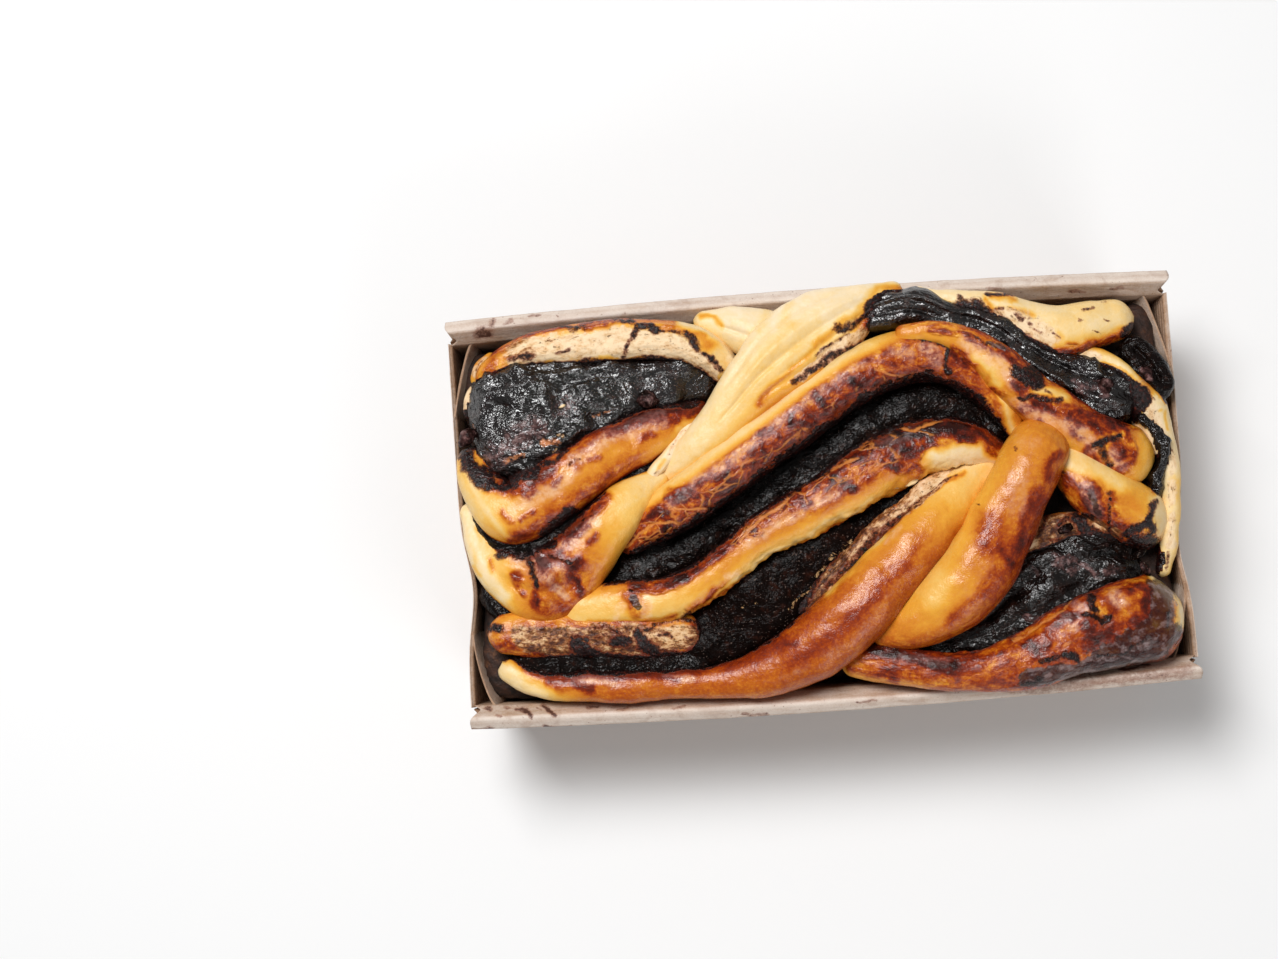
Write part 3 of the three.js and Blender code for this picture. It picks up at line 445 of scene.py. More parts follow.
              [113, -45, 12.6, 70, 0.3, 0.4, 0.6]],
        swells=[[92, -40, 5, 3.2], [80.6, -38.6, 4, 2.4], [85.6, -43.6, 3.2, -2.6], [72, -42, 4, 1.4],
                [99, -36, 4, 1.2], [86, -56, 7, -1.6]],
        marks=dict(
            brown=[[2, 1, 12, -50, 20, -52.4, 30, -55, 38, -57], [1.2, 0.7, 5, -55, 12, -58, 20, -60],
                   [1.6, 1, 72, -45.6, 74, -44, 80, -44], [2.6, 1, 81, -48, 84, -51, 90, -50],
                   [2, 0.7, 62, -52, 66, -54], [1.6, 1, 96, -36, 101, -38, 100, -45, 96, -48]],
            haze=[[1.5, 1, 22, -53, 29, -53.6, 36, -55], [2, 1, 75, -44, 77, -48],
                  [2, 1, 80, -40, 82.6, -41.6], [2.6, 0.9, 91, -39, 93, -41],
                  [1, 0.7, 107, -38, 109, -42]],
            gold=[[0.7, 0.8, 57, -49.6, 63, -47.4, 69, -44.6, 75, -41.6, 79, -37, 82, -36.6],
                  [0.9, 0.6, 78, -51, 74, -53.4]],
            choc=[[1.8, 1, 82, -44, 86, -46, 88.6, -46], [1.8, 1, 84.6, -38, 84, -42],
                  [1.4, 1, 66, -57, 74, -56, 78, -57], [1, 1, 58, -64, 62, -63.6, 66, -62],
                  [0.8, 0.9, 83, -58, 92, -57, 100, -53], [0.8, 0.9, 108, -44, 107, -49]],
            film=[[5, 1, 106, -38, 106, -46, 100, -52, 92, -56, 84, -60],
                  [3, 1, 84, -60, 72, -61, 60, -62.6], [3, 1, 110, -50, 104, -56, 96, -59],
                  [1.8, 0.7, 102, -35, 104, -44]],
            cream=[[1.6, 1, 104, -33, 110, -36, 112.4, -42, 111.6, -49]])),
    "cream_roll": dict(flat=0.9,
        path=[[34, 64, 2.4, 68, 0.06, 0.06, 0.2], [50, 60.2, 3.4, 70, 0.06, 0.08, 0.2],
              [60, 57.4, 4.6, 70.6, 0.08, 0.08, 0.2], [70, 51.4, 7.4, 71, 0.08, 0.1, 0.3],
              [80, 47.6, 8.8, 72, 0.1, 0.12, 0.42], [91, 49.4, 8, 71, 0.12, 0.14, 0.4],
              [105.4, 51.6, 6.2, 68, 0.16, 0.14, 0.24]],
        marks=dict(
            choc=[[1.3, 1, 62.8, 53.8, 63.6, 53], [1, 0.9, 67.6, 54, 69, 53.2],
                  [0.9, 0.9, 71, 52.8, 71.6, 51.2], [0.6, 0.8, 86.6, 51.4, 88.4, 51],
                  [0.5, 0.8, 88, 54.6, 91.6, 55], [0.5, 0.7, 78, 47.6, 80, 46.4],
                  [2.6, 1, 45, 57.6, 50, 58, 54, 57, 58, 55.4], [1.2, 1, 49.4, 62, 50.4, 60],
                  [0.7, 1, 58, 62, 62, 61.4, 66, 60], [1.7, 1, 101, 45.6, 103.6, 47.6],
                  [1.2, 1, 86, 39.6, 90, 41], [0.4, 0.6, 94.4, 56.8, 96.4, 57],
                  [0.5, 0.7, 105.6, 50, 105, 46], [0.4, 0.8, 95, 51, 96.6, 50],
                  [0.4, 0.8, 91, 47.4, 93, 46.6], [0.8, 0.9, 61, 57.4, 63.6, 56.6],
                  [0.7, 0.8, 72.6, 49.6, 74.4, 48.2]],
            brown=[[1.4, 1, 58, 60, 60, 57, 63, 56], [1, 0.9, 60, 61.4, 64, 60.4, 66.6, 58.6],
                   [0.9, 0.9, 40, 62, 44, 60.6, 45, 58], [1, 0.7, 66, 56, 72, 54],
                   [0.8, 0.7, 65, 51, 68, 48.6], [2, 1, 78, 41, 84, 41.4, 92, 42.6, 100, 45.6],
                   [1.2, 0.5, 74, 44, 80, 47], [1, 0.8, 69, 49, 71.6, 47],
                   [0.8, 0.8, 82.6, 44.6, 85, 44]],
            haze=[[3, 0.8, 68, 50, 74, 47]],
            crumb=[[4.4, 0.62, 62, 54, 70, 51, 76, 46]],
            cream=[[4, 0.6, 92, 50, 101, 52]])),
    "right_cream": dict(flat=1.1,
        path=[[84, 39.6, 2, 66, 0.3, 0.2, 0.1], [92, 38.6, 2.6, 69.4, 0.3, 0.12, 0.1],
              [98.4, 34.6, 2.4, 70.6, 0.2, 0.06, 0.1], [102.8, 29, 2.8, 70, 0.2, 0.04, 0.1],
              [107, 21.6, 6.4, 68.6, 0.1, 0.03, 0.06], [109.8, 13.4, 5.8, 67, 0.1, 0.03, 0.05],
              [112.4, 4, 3.4, 65, 0.1, 0.04, 0.05], [112.4, -8, 3, 64, 0.2, 0.08, 0.1],
              [111, -22, 3, 62, 0.2, 0.1, 0.1], [108, -33, 2.6, 60, 0.2, 0.1, 0.1]],
        marks=dict(
            crumb=[[1.6, 0.6, 86, 39.4, 93, 38.6], [3.4, 0.62, 103, 28, 106.6, 21, 109, 13],
                   [2.6, 0.5, 111, 9, 112.4, 0], [2, 0.5, 111.6, -14, 110.6, -24],
                   [2, 0.5, 112, -3, 112, -10]],
            brown=[[0.8, 0.7, 105, 24, 108, 22.6], [1.1, 1, 103, 17.6, 106, 15.6],
                   [0.6, 0.6, 112, 20, 112.4, 14], [0.5, 0.7, 109.4, 20, 111, 20.6],
                   [1.6, 0.3, 112.6, -3, 112.6, -9]],
            choc=[[0.5, 0.7, 106, 27, 109, 23.6], [0.4, 0.6, 112.6, 12, 113.4, 6],
                  [0.8, 0.8, 110, -26, 108.6, -31], [0.8, 0.9, 101, 18.4, 104.6, 16.6]],
            haze=[[2.6, 0.8, 107, 18, 110, 10]])),
    "crumb_shelf": dict(flat=0.8, soak=0.7, ragged=[1, 1.2],
        path=[[-13, -37, 2, 66, 0.6, 0.6, 0.7], [-3, -30, 3.6, 68.6, 0.6, 0.5, 0.7],
              [6, -22.6, 4, 70.6, 0.6, 0.5, 0.6], [15, -14.6, 4, 71.2, 0.55, 0.46, 0.55],
              [25, -7.6, 3.8, 70.6, 0.5, 0.4, 0.55], [36, 0.6, 3.8, 70.6, 0.4, 0.3, 0.5],
              [47, 6, 2, 67, 0.3, 0.2, 0.5]],
        marks=dict(
            crumb=[[5, 1, -10, -35, 0, -27.6, 10, -18.6, 20, -10.6, 32, -2.6, 42, 4]],
            brown=[[2, 0.8, -10, -34, -2, -28, 4, -22], [1, 1, 12, -18, 22, -10.4, 34, -2]],
            choc=[[1.6, 0.7, 0, -29, 8, -22, 14, -16.6],
                  [1.4, 0.7, 6, -22.6, 16, -13.6, 24, -8.6, 30, -4.4],
                  [1, 0.8, 18, -14, 26, -8, 34, -2.6], [0.8, 0.8, 34, -1.6, 40, 1.6, 45, 4.4]])),
    "corner_bit": dict(flat=0.9,
        path=[[-108.6, 45, 1.6, 60, 0.1, 0.1, 0.1], [-110.4, 40, 2.6, 63, 0.06, 0.04, 0.1],
              [-111, 34, 2, 60, 0.1, 0.06, 0.1]],
        marks=dict(
            brown=[[0.9, 1, -109.4, 38, -109.6, 36.6]],
            crumb=[[3, 0.7, -110, 42, -111, 36]])),
    "crust_bit": dict(flat=0.9,
        path=[[-109.6, 45, 1.6, 58, 0.3, 0.3, 0.4], [-107.6, 50, 2.6, 60, 0.4, 0.4, 0.5],
              [-102, 55, 2, 58, 0.3, 0.4, 0.5]],
        marks=dict(
            crumb=[[2, 0.8, -108, 48, -105, 52]])),
    "torn_flap": dict(flat=0.6, soak=0.4, ragged=[-1, 1.6],
        path=[[15.6, 1.6, 0.8, 66, 0.3, 0.24, 0.16], [21, 2.6, 2, 70.4, 0.4, 0.26, 0.1],
              [27.6, 3.6, 2.2, 70.8, 0.4, 0.24, 0.08], [33, 6.6, 1.4, 69.4, 0.3, 0.2, 0.1]],
        marks=dict(
            brown=[[1, 1, 18, 3, 26, 4.6, 31, 6.4]])),
    "torn_web": dict(flat=0.8, soak=0, ragged=[1, 1.4],
        path=[[-37, 31, 1, 64, 0.05, 0.04, 0.1], [-42.6, 24, 2, 67.6, 0.04, 0.02, 0.1],
              [-48, 17, 2, 68.6, 0.04, 0.02, 0.1], [-53, 11.6, 2.2, 69, 0.04, 0.02, 0.1],
              [-57.6, 5.4, 1.2, 66, 0.1, 0.04, 0.1]],
        marks=dict(
            crumb=[[1.4, 0.6, -42, 25, -48, 17.6], [1.4, 0.6, -52, 12, -56, 8]],
            brown=[[0.8, 0.8, -50, 15, -52, 12.6]])),
    "crumb_patch": dict(flat=0.9,
        path=[[61, -20.6, 4, 65, 0.14, 0.14, 0.2], [71, -16.4, 5.4, 68, 0.46, 0.5, 0.5],
              [80, -14.8, 4.6, 68, 0.5, 0.56, 0.6], [90, -17.4, 3.4, 67, 0.3, 0.3, 0.3],
              [98, -20, 2.6, 64, 0.3, 0.3, 0.3]],
        marks=dict(
            crumb=[[5, 1, 65, -18.4, 72, -15, 79, -15.6, 90, -17, 96, -19.6]],
            brown=[[2, 1, 70, -17, 76, -16.6]],
            choc=[[1.4, 0.9, 78, -12, 76, -14], [2.8, 1, 82, -13, 84, -16, 87, -18],
                  [1, 0.9, 71, -11.6, 71, -15], [0.9, 0.8, 72, -19, 76, -19.6]])),
}

# Small pieces that stand on the strands: [x, y, height of the crest, half length, half width,
# direction in degrees, bake, strength of a painted highlight on them]. Those baked to BURNT or past
# it are chocolate.
BITS = {
    "nut_left": [-112.4, 27.4, 68.6, 4, 2.6, 40, 0.9, 0.7],
    "nut_middle": [-53.6, 35.4, 69.8, 4.4, 3, -10, 0.9, 0.55],
    "crumb_white": [-82.4, 25.8, 72, 0.8, 0.5, 0, 0, 1],
    "crumb_pale": [-81, 34.8, 72, 1.3, 0.6, 20, 0.1, 1],
    "crumb_left": [-113.6, 15.8, 67, 2.6, 1.4, 70, 0.2, 0],
    "crumb_low_left": [-113, 8.4, 63, 2.4, 1.6, 100, 0.9, 0.4],
    "flake_first": [76.6, -15.8, 70, 2.6, 0.9, 20, 0.9, 0.4],
    "flake_second": [83.4, -20.6, 70.6, 3.4, 1, -25, 0.95, 0],
    "flake_third": [88.4, -22, 70.4, 3.8, 1.1, 15, 0.98, 0.3],
    "flake_fourth": [94, -24.4, 69.8, 4, 1.2, -40, 0.96, 0],
    "flake_fifth": [99.6, -25.4, 69, 3, 1.4, 30, 0.98, 0],
    "flake_sixth": [101.6, -30.2, 67.4, 2.8, 1.1, -60, 0.94, 0.5],
    "edge_first": [88, -58.6, 64.6, 2.2, 1.1, 10, 0.95, 0],
    "edge_second": [94.6, -58.2, 64.8, 2.6, 1.2, 14, 0.98, 0],
    "edge_third": [101, -56.4, 64.6, 2, 1.2, 30, 0.96, 0],
    "edge_crumb": [97.6, -58.6, 65, 0.9, 0.7, 0, 0.2, 0],
    "lump_back": [92.6, 28.8, 73, 3, 2.6, 20, 0.97, 0.7],
}

# A filling's path has rows of [x, y, half width, height of the crest]. wet is how wet it is at its
# start and at its end, and shine names one of the finishes in SHINES. Its sheen marks are painted
# mauve highlights, its gold ones bare crust and its crumb ones crumbs that stick to it.
FILLINGS = {
    "filling_left": dict(flat=1, wet=[1, 0], shine="wet",
        path=[[-112, 30, 8, 65], [-106, 30.6, 17, 70], [-93, 31.6, 20.6, 72.4], [-77, 37, 16.4, 70.4],
              [-58, 41, 12, 67.8], [-42, 41.6, 10, 65.4], [-28, 40, 6, 61]],
        creases=[[0.35, 0.12, 1.1, 0.3, 0.62], [-0.1, 0.1, -1.2, 0.36, 0.56], [0.1, 0.08, 1, 0.5, 0.8],
                 [-0.55, 0.1, -0.8, 0.2, 0.44], [0.7, 0.08, 0.8, 0.42, 0.9]],
        marks=dict(
            haze=[[5, 0.9, -103, 21, -97, 26, -90, 29], [2.6, 0.9, -82, 34, -79, 36]],
            gold=[[1.4, 0.8, -101, 19.6, -95, 20], [1.6, 0.9, -88, 24, -84, 24],
                  [0.9, 0.7, -72, 31, -66, 32.4], [1.1, 0.7, -111, 27, -110, 31]],
            crumb=[[1, 1, -83.6, 26, -82, 25.8], [1, 0.8, -84, 21.6, -86, 19]])),
    "filling_valley": dict(flat=1.8, wet=[0.3, 0.3], shine="moist",
        path=[[-74, -22, 5, 57], [-56, -17, 8, 59.6], [-40, -9.4, 8.6, 60.4], [-24, -0.6, 9, 61],
              [-8, 8, 9.6, 62], [8, 18, 10.4, 62.6], [24, 26.6, 10.6, 63.4], [40, 29, 10.4, 63.6],
              [51, 23, 9, 63], [60, 11, 6.6, 62]]),
    "filling_slope": dict(flat=1.3, wet=[0.05, 0.05], shine="dry",
        path=[[-54, -46, 7, 62], [-34, -39.6, 12.6, 66], [-21, -30.6, 14.6, 68], [-8, -22.6, 13.4, 68],
              [6, -14, 11, 67], [20, -5, 9, 65.4], [34, 1.4, 7.4, 64], [48, 8, 5.6, 62]],
        creases=[[-0.2, 0.1, -0.5, 0.3, 0.6]],
        marks=dict(
            crumb=[[0.9, 0.9, -28, -33.4, -26.4, -32.4], [0.8, 1, -24, -33, -23, -32.6],
                   [1.4, 0.7, -14, -35, -9, -31.6, -4, -28], [1, 0.8, 2, -19.6, 3, -18.4],
                   [1.6, 0.7, -3, -24, 3, -20, 9, -15]])),
    "filling_front": dict(flat=1.8, wet=[0.4, 0.4], shine="moist",
        path=[[-103.6, -44.6, 3.4, 60], [-92, -47, 6.6, 64], [-78, -47.8, 6.8, 65], [-66, -49, 7, 65.4],
              [-52, -50, 6.6, 65.4], [-36, -51, 5.4, 63]]),
    "filling_back": dict(flat=1.4, wet=[0.2, 1], shine="wet",
        path=[[14, 55, 4.6, 70], [24, 58.4, 6.4, 72.6], [34, 59, 6.6, 73], [43, 55.4, 5.4, 71.6],
              [52, 53.2, 5.2, 71.4], [60, 49, 5.6, 71.2], [68, 42, 6.2, 71.2], [77, 35.6, 7, 71.2],
              [87, 29.8, 9.4, 72], [96, 26.2, 9.6, 71.6], [103.6, 24.4, 5.4, 69]],
        creases=[[0.1, 0.14, 1.2, 0.34, 0.6], [-0.3, 0.14, -1.4, 0.6, 0.95], [0.3, 0.12, 1.6, 0.6, 0.9],
                 [0.4, 0.1, -1.2, 0.05, 0.3], [-0.2, 0.12, 1.2, 0.1, 0.3]],
        marks=dict(
            haze=[[2.4, 0.9, 91, 30, 94, 27], [2, 0.9, 84, 31, 87, 29]])),
    "filling_corner": dict(flat=1.3, wet=[0.7, 0.7], shine="moist",
        path=[[98.6, 41.4, 2.4, 65.6], [104, 39.4, 5.6, 67.2], [108.6, 32.4, 5.8, 66.8],
              [113, 24.6, 3, 65]],
        creases=[[0.2, 0.14, 1.2, 0.2, 0.8], [-0.3, 0.14, -1.2, 0.4, 0.8]],
        marks=dict(
            haze=[[1.6, 1, 106.6, 34, 107.6, 31.6]])),
    "filling_end": dict(flat=2, wet=[0.9, 0.9], shine="damp",
        path=[[102, 18.6, 1.6, 69], [107, 15.4, 2, 69], [110.6, 9.4, 2.8, 68.4],
              [109.6, 2.6, 2.2, 67.6], [107, -2.8, 2.6, 67], [106, -8, 2, 65]]),
    "filling_lower": dict(flat=1.1, wet=[0.4, 0.9], shine="damp",
        path=[[28, -53, 5.6, 59], [50, -46, 9.4, 63], [65, -36.4, 13.4, 66], [79, -29, 13.4, 67.4],
              [92, -26.6, 11.6, 66.4], [102, -27, 7.6, 64]],
        creases=[[0.35, 0.16, 1.2, 0.3, 0.6], [-0.05, 0.14, -1, 0.35, 0.65],
                 [-0.4, 0.14, 1.2, 0.5, 0.75], [0.15, 0.1, 2, 0.7, 0.9], [0.6, 0.14, -1, 0.5, 0.7]],
        marks=dict(
            haze=[[2.6, 1, 74, -25, 79, -26.6], [1, 1, 79, -25, 83, -28, 85, -31],
                  [1.8, 0.9, 86, -31, 91, -30], [1.4, 0.7, 64, -26, 67, -29],
                  [1.6, 0.8, 62, -43, 66, -44]])),
    "filling_crook": dict(flat=1.9, wet=[0.6, 0.6], shine="moist",
        path=[[-112, 17, 3, 58], [-108.6, 2, 4, 64], [-101, -8, 5, 66], [-88, -5.4, 5.6, 67.4],
              [-76, 3.6, 5.4, 66.4], [-62, 12.4, 5, 65.4], [-46, 16, 4.4, 64]]),
    "filling_nook": dict(flat=1.8, wet=[0.4, 0.4], shine="moist",
        path=[[-111, -15, 3, 56], [-106.6, -25.6, 5.4, 62], [-98, -31, 5.4, 61]]),
}

SQUARENESS, RIBBON_SQUARENESS = 0.9, 0.56  # powers of the sections of strands and of fillings
PATH_SAMPLES = 600  # points that a path's length is measured with
RING_STEP = 0.6  # mm between rings along a strand, on average
EVEN_RINGS = 0.6  # how even their spacing is: the rest closes up towards the tips
NUDGE = 1e-3  # how far along a path its direction is looked for, as a share
SPOKES = 112  # points round a strand
TOP_CROWDING = 0.45  # how much closer together the points are on top than on average
TURN = 2 * np.pi * np.arange(SPOKES) / SPOKES
TURN = TURN + TOP_CROWDING * np.cos(TURN)
UPPER_HALF = (np.sin(TURN) > -0.2).astype(float)  # with a little of the underside

MARK_Z = 66.0  # height of the plane that marks are placed on
KINDS = ("choc", "brown", "cream", "yellow", "crumb", "haze", "film", "gold", "crack")
STROKE_END = 1.7  # where a stroke has faded out, in half widths
BAND_END, CREASE_END = 0.04, 0.06  # shares of the length over which they fade in and out
FRAY_SIZE, BAND_FRAY = 5, 0.25  # size of the noise that frays marks, and how far it moves a band
FRAY_LEAST, FRAY_GROWTH, FRAY_MOST = 1.0, 0.6, 2.4  # how far it moves a stroke, growing with its width
THIN, THICK = 0.6, 2.4  # half widths between which a smear of chocolate grows to its full strength
THIN_SMEAR = 0.56  # the share of it that the thinnest has

BROWNING = 0.3  # what brown marks add to the bake
BAKE_LEVEL = {"cream": 0.06, "yellow": 0.16}  # the bake that pale marks bring
STAIN_RISE, STAIN_FRAY = 0.9, 1.4  # how far chocolate creeps up a strand, and the noise in that
STAIN_EDGE, BROWN_EDGE = (-0.8, 1.2), (0.4, 3.6)  # heights between which it and its brown rim fade
STAIN_BROWN = 0.8  # strength of that rim
BIT_BAKE, BURNT = 6, 0.5  # where a small piece's bake stands in its row, and that of chocolate

MAP_STEP = 1.0  # size of the squares in the map of the chocolate
MAP_X, MAP_Y = 122, 74  # how far it reaches
MAP_RINGS = 90  # places looked at along each filling


def tube(path, flat, square):
    """A round-ended tube. At each ring, x = C w cos^p across it and z = crest - h + C h sin^p, with
    half width w, half height h = flat w, power p, and C = root of 1 - (1 - d/w)^2 within a half width
    of either end, d being the distance from it. Gives the rings, the tips, the share across them from
    -1 right to 1 left, the rows along it, and the share of its length at each ring."""
    rows = np.asarray(path, float)
    even = np.linspace(0, 1, PATH_SAMPLES)
    fine = through(rows, even)
    steps = np.linalg.norm(np.diff(fine[:, [0, 1, 3]], axis=0), axis=1)
    travelled = np.concatenate([[0], np.cumsum(steps)])
    length = travelled[-1]
    count = int(length / RING_STEP)
    t = np.arange(1, count) / count
    distance = length * (EVEN_RINGS * t + (1 - EVEN_RINGS) * (1 - np.cos(np.pi * t)) / 2)
    share = np.interp(distance, travelled, even)
    line = through(rows, share)
    ahead = through(rows, share + NUDGE) - through(rows, share - NUDGE)
    along = ahead[:, :2] / np.linalg.norm(ahead[:, :2], axis=1, keepdims=True)
    across = np.stack([-along[:, 1], along[:, 0]], -1)
    from_tip = np.minimum(distance, length - distance)
    tip_width = np.where(distance < length / 2, rows[0, 2], rows[-1, 2])
    cap = np.sqrt(1 - (1 - np.minimum(from_tip / tip_width, 1)) ** 2)
    wide = np.sign(np.cos(TURN)) * np.abs(np.cos(TURN)) ** square
    tall = np.sign(np.sin(TURN)) * np.abs(np.sin(TURN)) ** square
    half = line[:, 2:3] * cap[:, None]
    loops = np.empty((count - 1, SPOKES, 3))
    loops[..., :2] = line[:, None, :2] + across[:, None, :] * (half * wide)[..., None]
    loops[..., 2] = line[:, 3:4] - flat * line[:, 2:3] + flat * half * tall
    tips = np.stack([rows[0, [0, 1, 3]], rows[-1, [0, 1, 3]]])
    tips[:, 2] -= flat * rows[[0, -1], 2]
    return loops, tips, wide, line, distance / length


def on_plan(loops):
    """Where each point shows on the level plane at MARK_Z, looking from the camera's place: away
    from the point below the camera, in proportion to their heights below it."""
    eye = np.array(CAMERA_AT)
    reach = (eye[2] - MARK_Z) / (eye[2] - loops[..., 2:])
    return eye[:2] + (loops[..., :2] - eye[:2]) * reach


def stroke(plan, points, width):
    """1 on the line through the points, falling smoothly to 0 at STROKE_END half widths from it."""
    corners = np.asarray(points, float).reshape(-1, 2)
    away = np.full(plan.shape[:-1], np.inf)
    for start, end in zip(corners[:-1], corners[1:]):
        run = end - start
        share = np.clip((plan - start) @ run / (run @ run), 0, 1)
        away = np.minimum(away, np.linalg.norm(plan - start - share[..., None] * run, axis=-1))
    return 1 - fade(away / width, 0, STROKE_END)


def lasting(run, start, end, blend):
    """1 from start to end along a strand and 0 outside, with a smooth step at both."""
    return fade(run, start - blend, start + blend) * (1 - fade(run, end - blend, end + blend))


def painted(spec, loops, wide, run, salt):
    """The strength of each kind of mark at each point: its strokes, with their edges moved by noise,
    and its bands, which are bell curves across and fade in and out along."""
    plan = on_plan(loops)
    fray = np.stack([rough(loops, FRAY_SIZE, 4, salt + more) for more in (0, 9)], -1)
    found = {kind: np.zeros(plan.shape[:-1]) for kind in KINDS}
    for kind, strokes in spec.get("marks", {}).items():
        for width, strength, *points in strokes:
            shifted = plan + fray * min(FRAY_MOST, FRAY_LEAST + width * FRAY_GROWTH)
            if kind == "choc":
                strength = strength * (THIN_SMEAR + (1 - THIN_SMEAR) * fade(width, THIN, THICK))
            found[kind] = np.maximum(found[kind], strength * stroke(shifted, points, width))
    for kind, stripes in spec.get("bands", {}).items():
        for share, width, strength, start, end in stripes:
            across = np.exp(-(((wide + BAND_FRAY * fray[..., 0] - share) / width) ** 2))
            along = lasting(run, start, end, BAND_END)
            found[kind] = np.maximum(found[kind], strength * across * along[:, None])
    return found


def chocolate_map():
    """How high the chocolate stands over each square of a level grid, from the section of the nearest
    ring of each filling: crest - h + h (1 - (d/w)^n)^(1/n), n being 2 over the section's power."""
    across, up = np.meshgrid(*(np.arange(-reach, reach + 1, MAP_STEP) for reach in (MAP_X, MAP_Y)))
    tops = np.zeros(across.shape)
    power = 2 / RIBBON_SQUARENESS
    for spec in FILLINGS.values():
        line = through(spec["path"], np.linspace(0, 1, MAP_RINGS))
        away = np.hypot(across[..., None] - line[:, 0], up[..., None] - line[:, 1])
        near = away.argmin(-1)
        width, crest = line[near, 2], line[near, 3]
        share = np.clip(away.min(-1) / width, 0, 1)
        height = spec["flat"] * width
        top = crest - height + height * (1 - share**power) ** (1 / power)
        tops = np.maximum(tops, np.where(share < 1, top, 0))
    return tops


def above_chocolate(loops, tops):
    """How far each point is above the chocolate beside it, in millimetres, from the map's four
    nearest squares."""
    inside = 1.001  # keeps the last square's far neighbour on the map
    x = np.clip((loops[..., 0] + MAP_X) / MAP_STEP, 0, tops.shape[1] - inside)
    y = np.clip((loops[..., 1] + MAP_Y) / MAP_STEP, 0, tops.shape[0] - inside)
    column, row = x.astype(int), y.astype(int)
    s, t = x - column, y - row
    low = tops[row, column] * (1 - s) + tops[row, column + 1] * s
    high = tops[row + 1, column] * (1 - s) + tops[row + 1, column + 1] * s
    return loops[..., 2] - (low * (1 - t) + high * t)


def strand(name, spec):
    """One strand: the tube, heaved and dented by noise, creased and torn, with pits in open crumb and
    grains where chocolate lies on it. Its bake turns from that of the crown to those of the flanks by
    a smooth step of the share across, and chocolate stains it up to a frayed line over the fillings."""
    loops, tips, wide, line, run = tube(spec["path"], spec["flat"], spec.get("square", SQUARENESS))
    salt = 31 * sorted([*STRANDS, *BITS]).index(name)
    marks = painted(spec, loops, wide, run, salt)
    wash = above_chocolate(loops, TOPS) - STAIN_RISE - STAIN_FRAY * rough(loops, 6, 3, salt + 14)
    soak = spec.get("soak", 1.0)
    marks["choc"] = np.maximum(marks["choc"], soak * (1 - fade(wash, *STAIN_EDGE)))
    marks["brown"] = np.maximum(marks["brown"], STAIN_BROWN * soak * (1 - fade(wash, *BROWN_EDGE)))
    starts, ends = spec.get("turn", (0.1, 1.0))
    left, crown, right = line[:, 4:5], line[:, 5:6], line[:, 6:7]
    bake = crown + (left - crown) * fade(wide, starts, ends) + (right - crown) * fade(-wide, starts, ends)
    bake = bake + BROWNING * marks.pop("brown")
    for kind, level in BAKE_LEVEL.items():
        bake = bake + (level - bake) * marks.pop(kind)
    heaves, dents = lumps(loops, 16, salt + 5), lumps(loops, 6, salt + 6)
    pores, knobs = rough(loops, 2.4, 2, salt + 7), rough(loops, 2.6, 3, salt + 15)
    grains, pits = pebbles(loops, 1.4, salt + 8), pebbles(loops, 1.5, salt + 11)
    relief = 0.6 * heaves + 0.4 * dents + 0.12 * pores
    relief += marks["choc"] * (0.05 + 0.25 * grains) - marks["crumb"] * 0.45 * pits
    relief -= marks["gold"] * 0.3 + creased(spec, wide, run)
    if "ragged" in spec:
        side, depth = spec["ragged"]
        relief += depth * fade(side * wide, 0.7, 1.0) * rough(loops, 2.4, 4, salt + 12)
    relief += spec.get("knobs", 0) * knobs
    normal = outward(loops)
    upwards = np.clip(normal[..., 2], 0, 1)
    for x, y, radius, height in spec.get("swells", []):
        near = np.exp(-((loops[..., 0] - x) ** 2 + (loops[..., 1] - y) ** 2) / radius**2)
        relief += height * near * upwards
    marks["bake"] = np.broadcast_to(bake, relief.shape)
    marks["mottle"] = np.full(relief.shape, spec.get("mottle", 1.0))
    return sweep("strand_" + name, loops + normal * relief[..., None], tips, marks, surface_uv(loops))


def bit(name, spec):
    """One small knobbly piece: a strand of three rows, widest and highest in the middle."""
    x, y, crest, reach, width, degrees, bake, painted_sheen_strength = spec
    heading = np.radians(degrees)
    east, north = reach * np.cos(heading), reach * np.sin(heading)
    rows = [[x + east * t, y + north * t, width * (1 - 0.6 * t * t), crest - width * t * t, *[bake] * 3]
            for t in (-1, 0, 1)]
    # a painted highlight on the piece, as strong as its last number
    marks = {"haze": [[3 * width, painted_sheen_strength, x - 1, y, x + 1, y]]}
    return strand(name, dict(path=rows, flat=0.9, soak=0, knobs=0.34 * width, mottle=0.4, marks=marks))


def creased(spec, wide, run):
    """How deep the creases are at each point: a bell curve across each, fading at both of its ends,
    and none on the underside."""
    depth = np.zeros(wide.shape)
    for share, width, deep, start, end in spec.get("creases", []):
        along = lasting(run, start, end, CREASE_END)
        depth = depth + deep * np.exp(-(((wide - share) / width) ** 2)) * along[:, None]
    return depth * UPPER_HALF


def surface_uv(loops):
    """Where each point is on the surface, in metres: how far along it, and how far round."""
    along = np.linalg.norm(np.diff(loops.mean(1), axis=0), axis=1)
    around = np.linalg.norm(np.roll(loops, -1, axis=1) - loops, axis=-1).mean(0)
    uv = np.empty(loops.shape[:2] + (2,))
    uv[..., 0] = np.concatenate([[0], np.cumsum(along)])[:, None]
    uv[..., 1] = np.concatenate([[0], np.cumsum(around[:-1])])
    return uv * MM


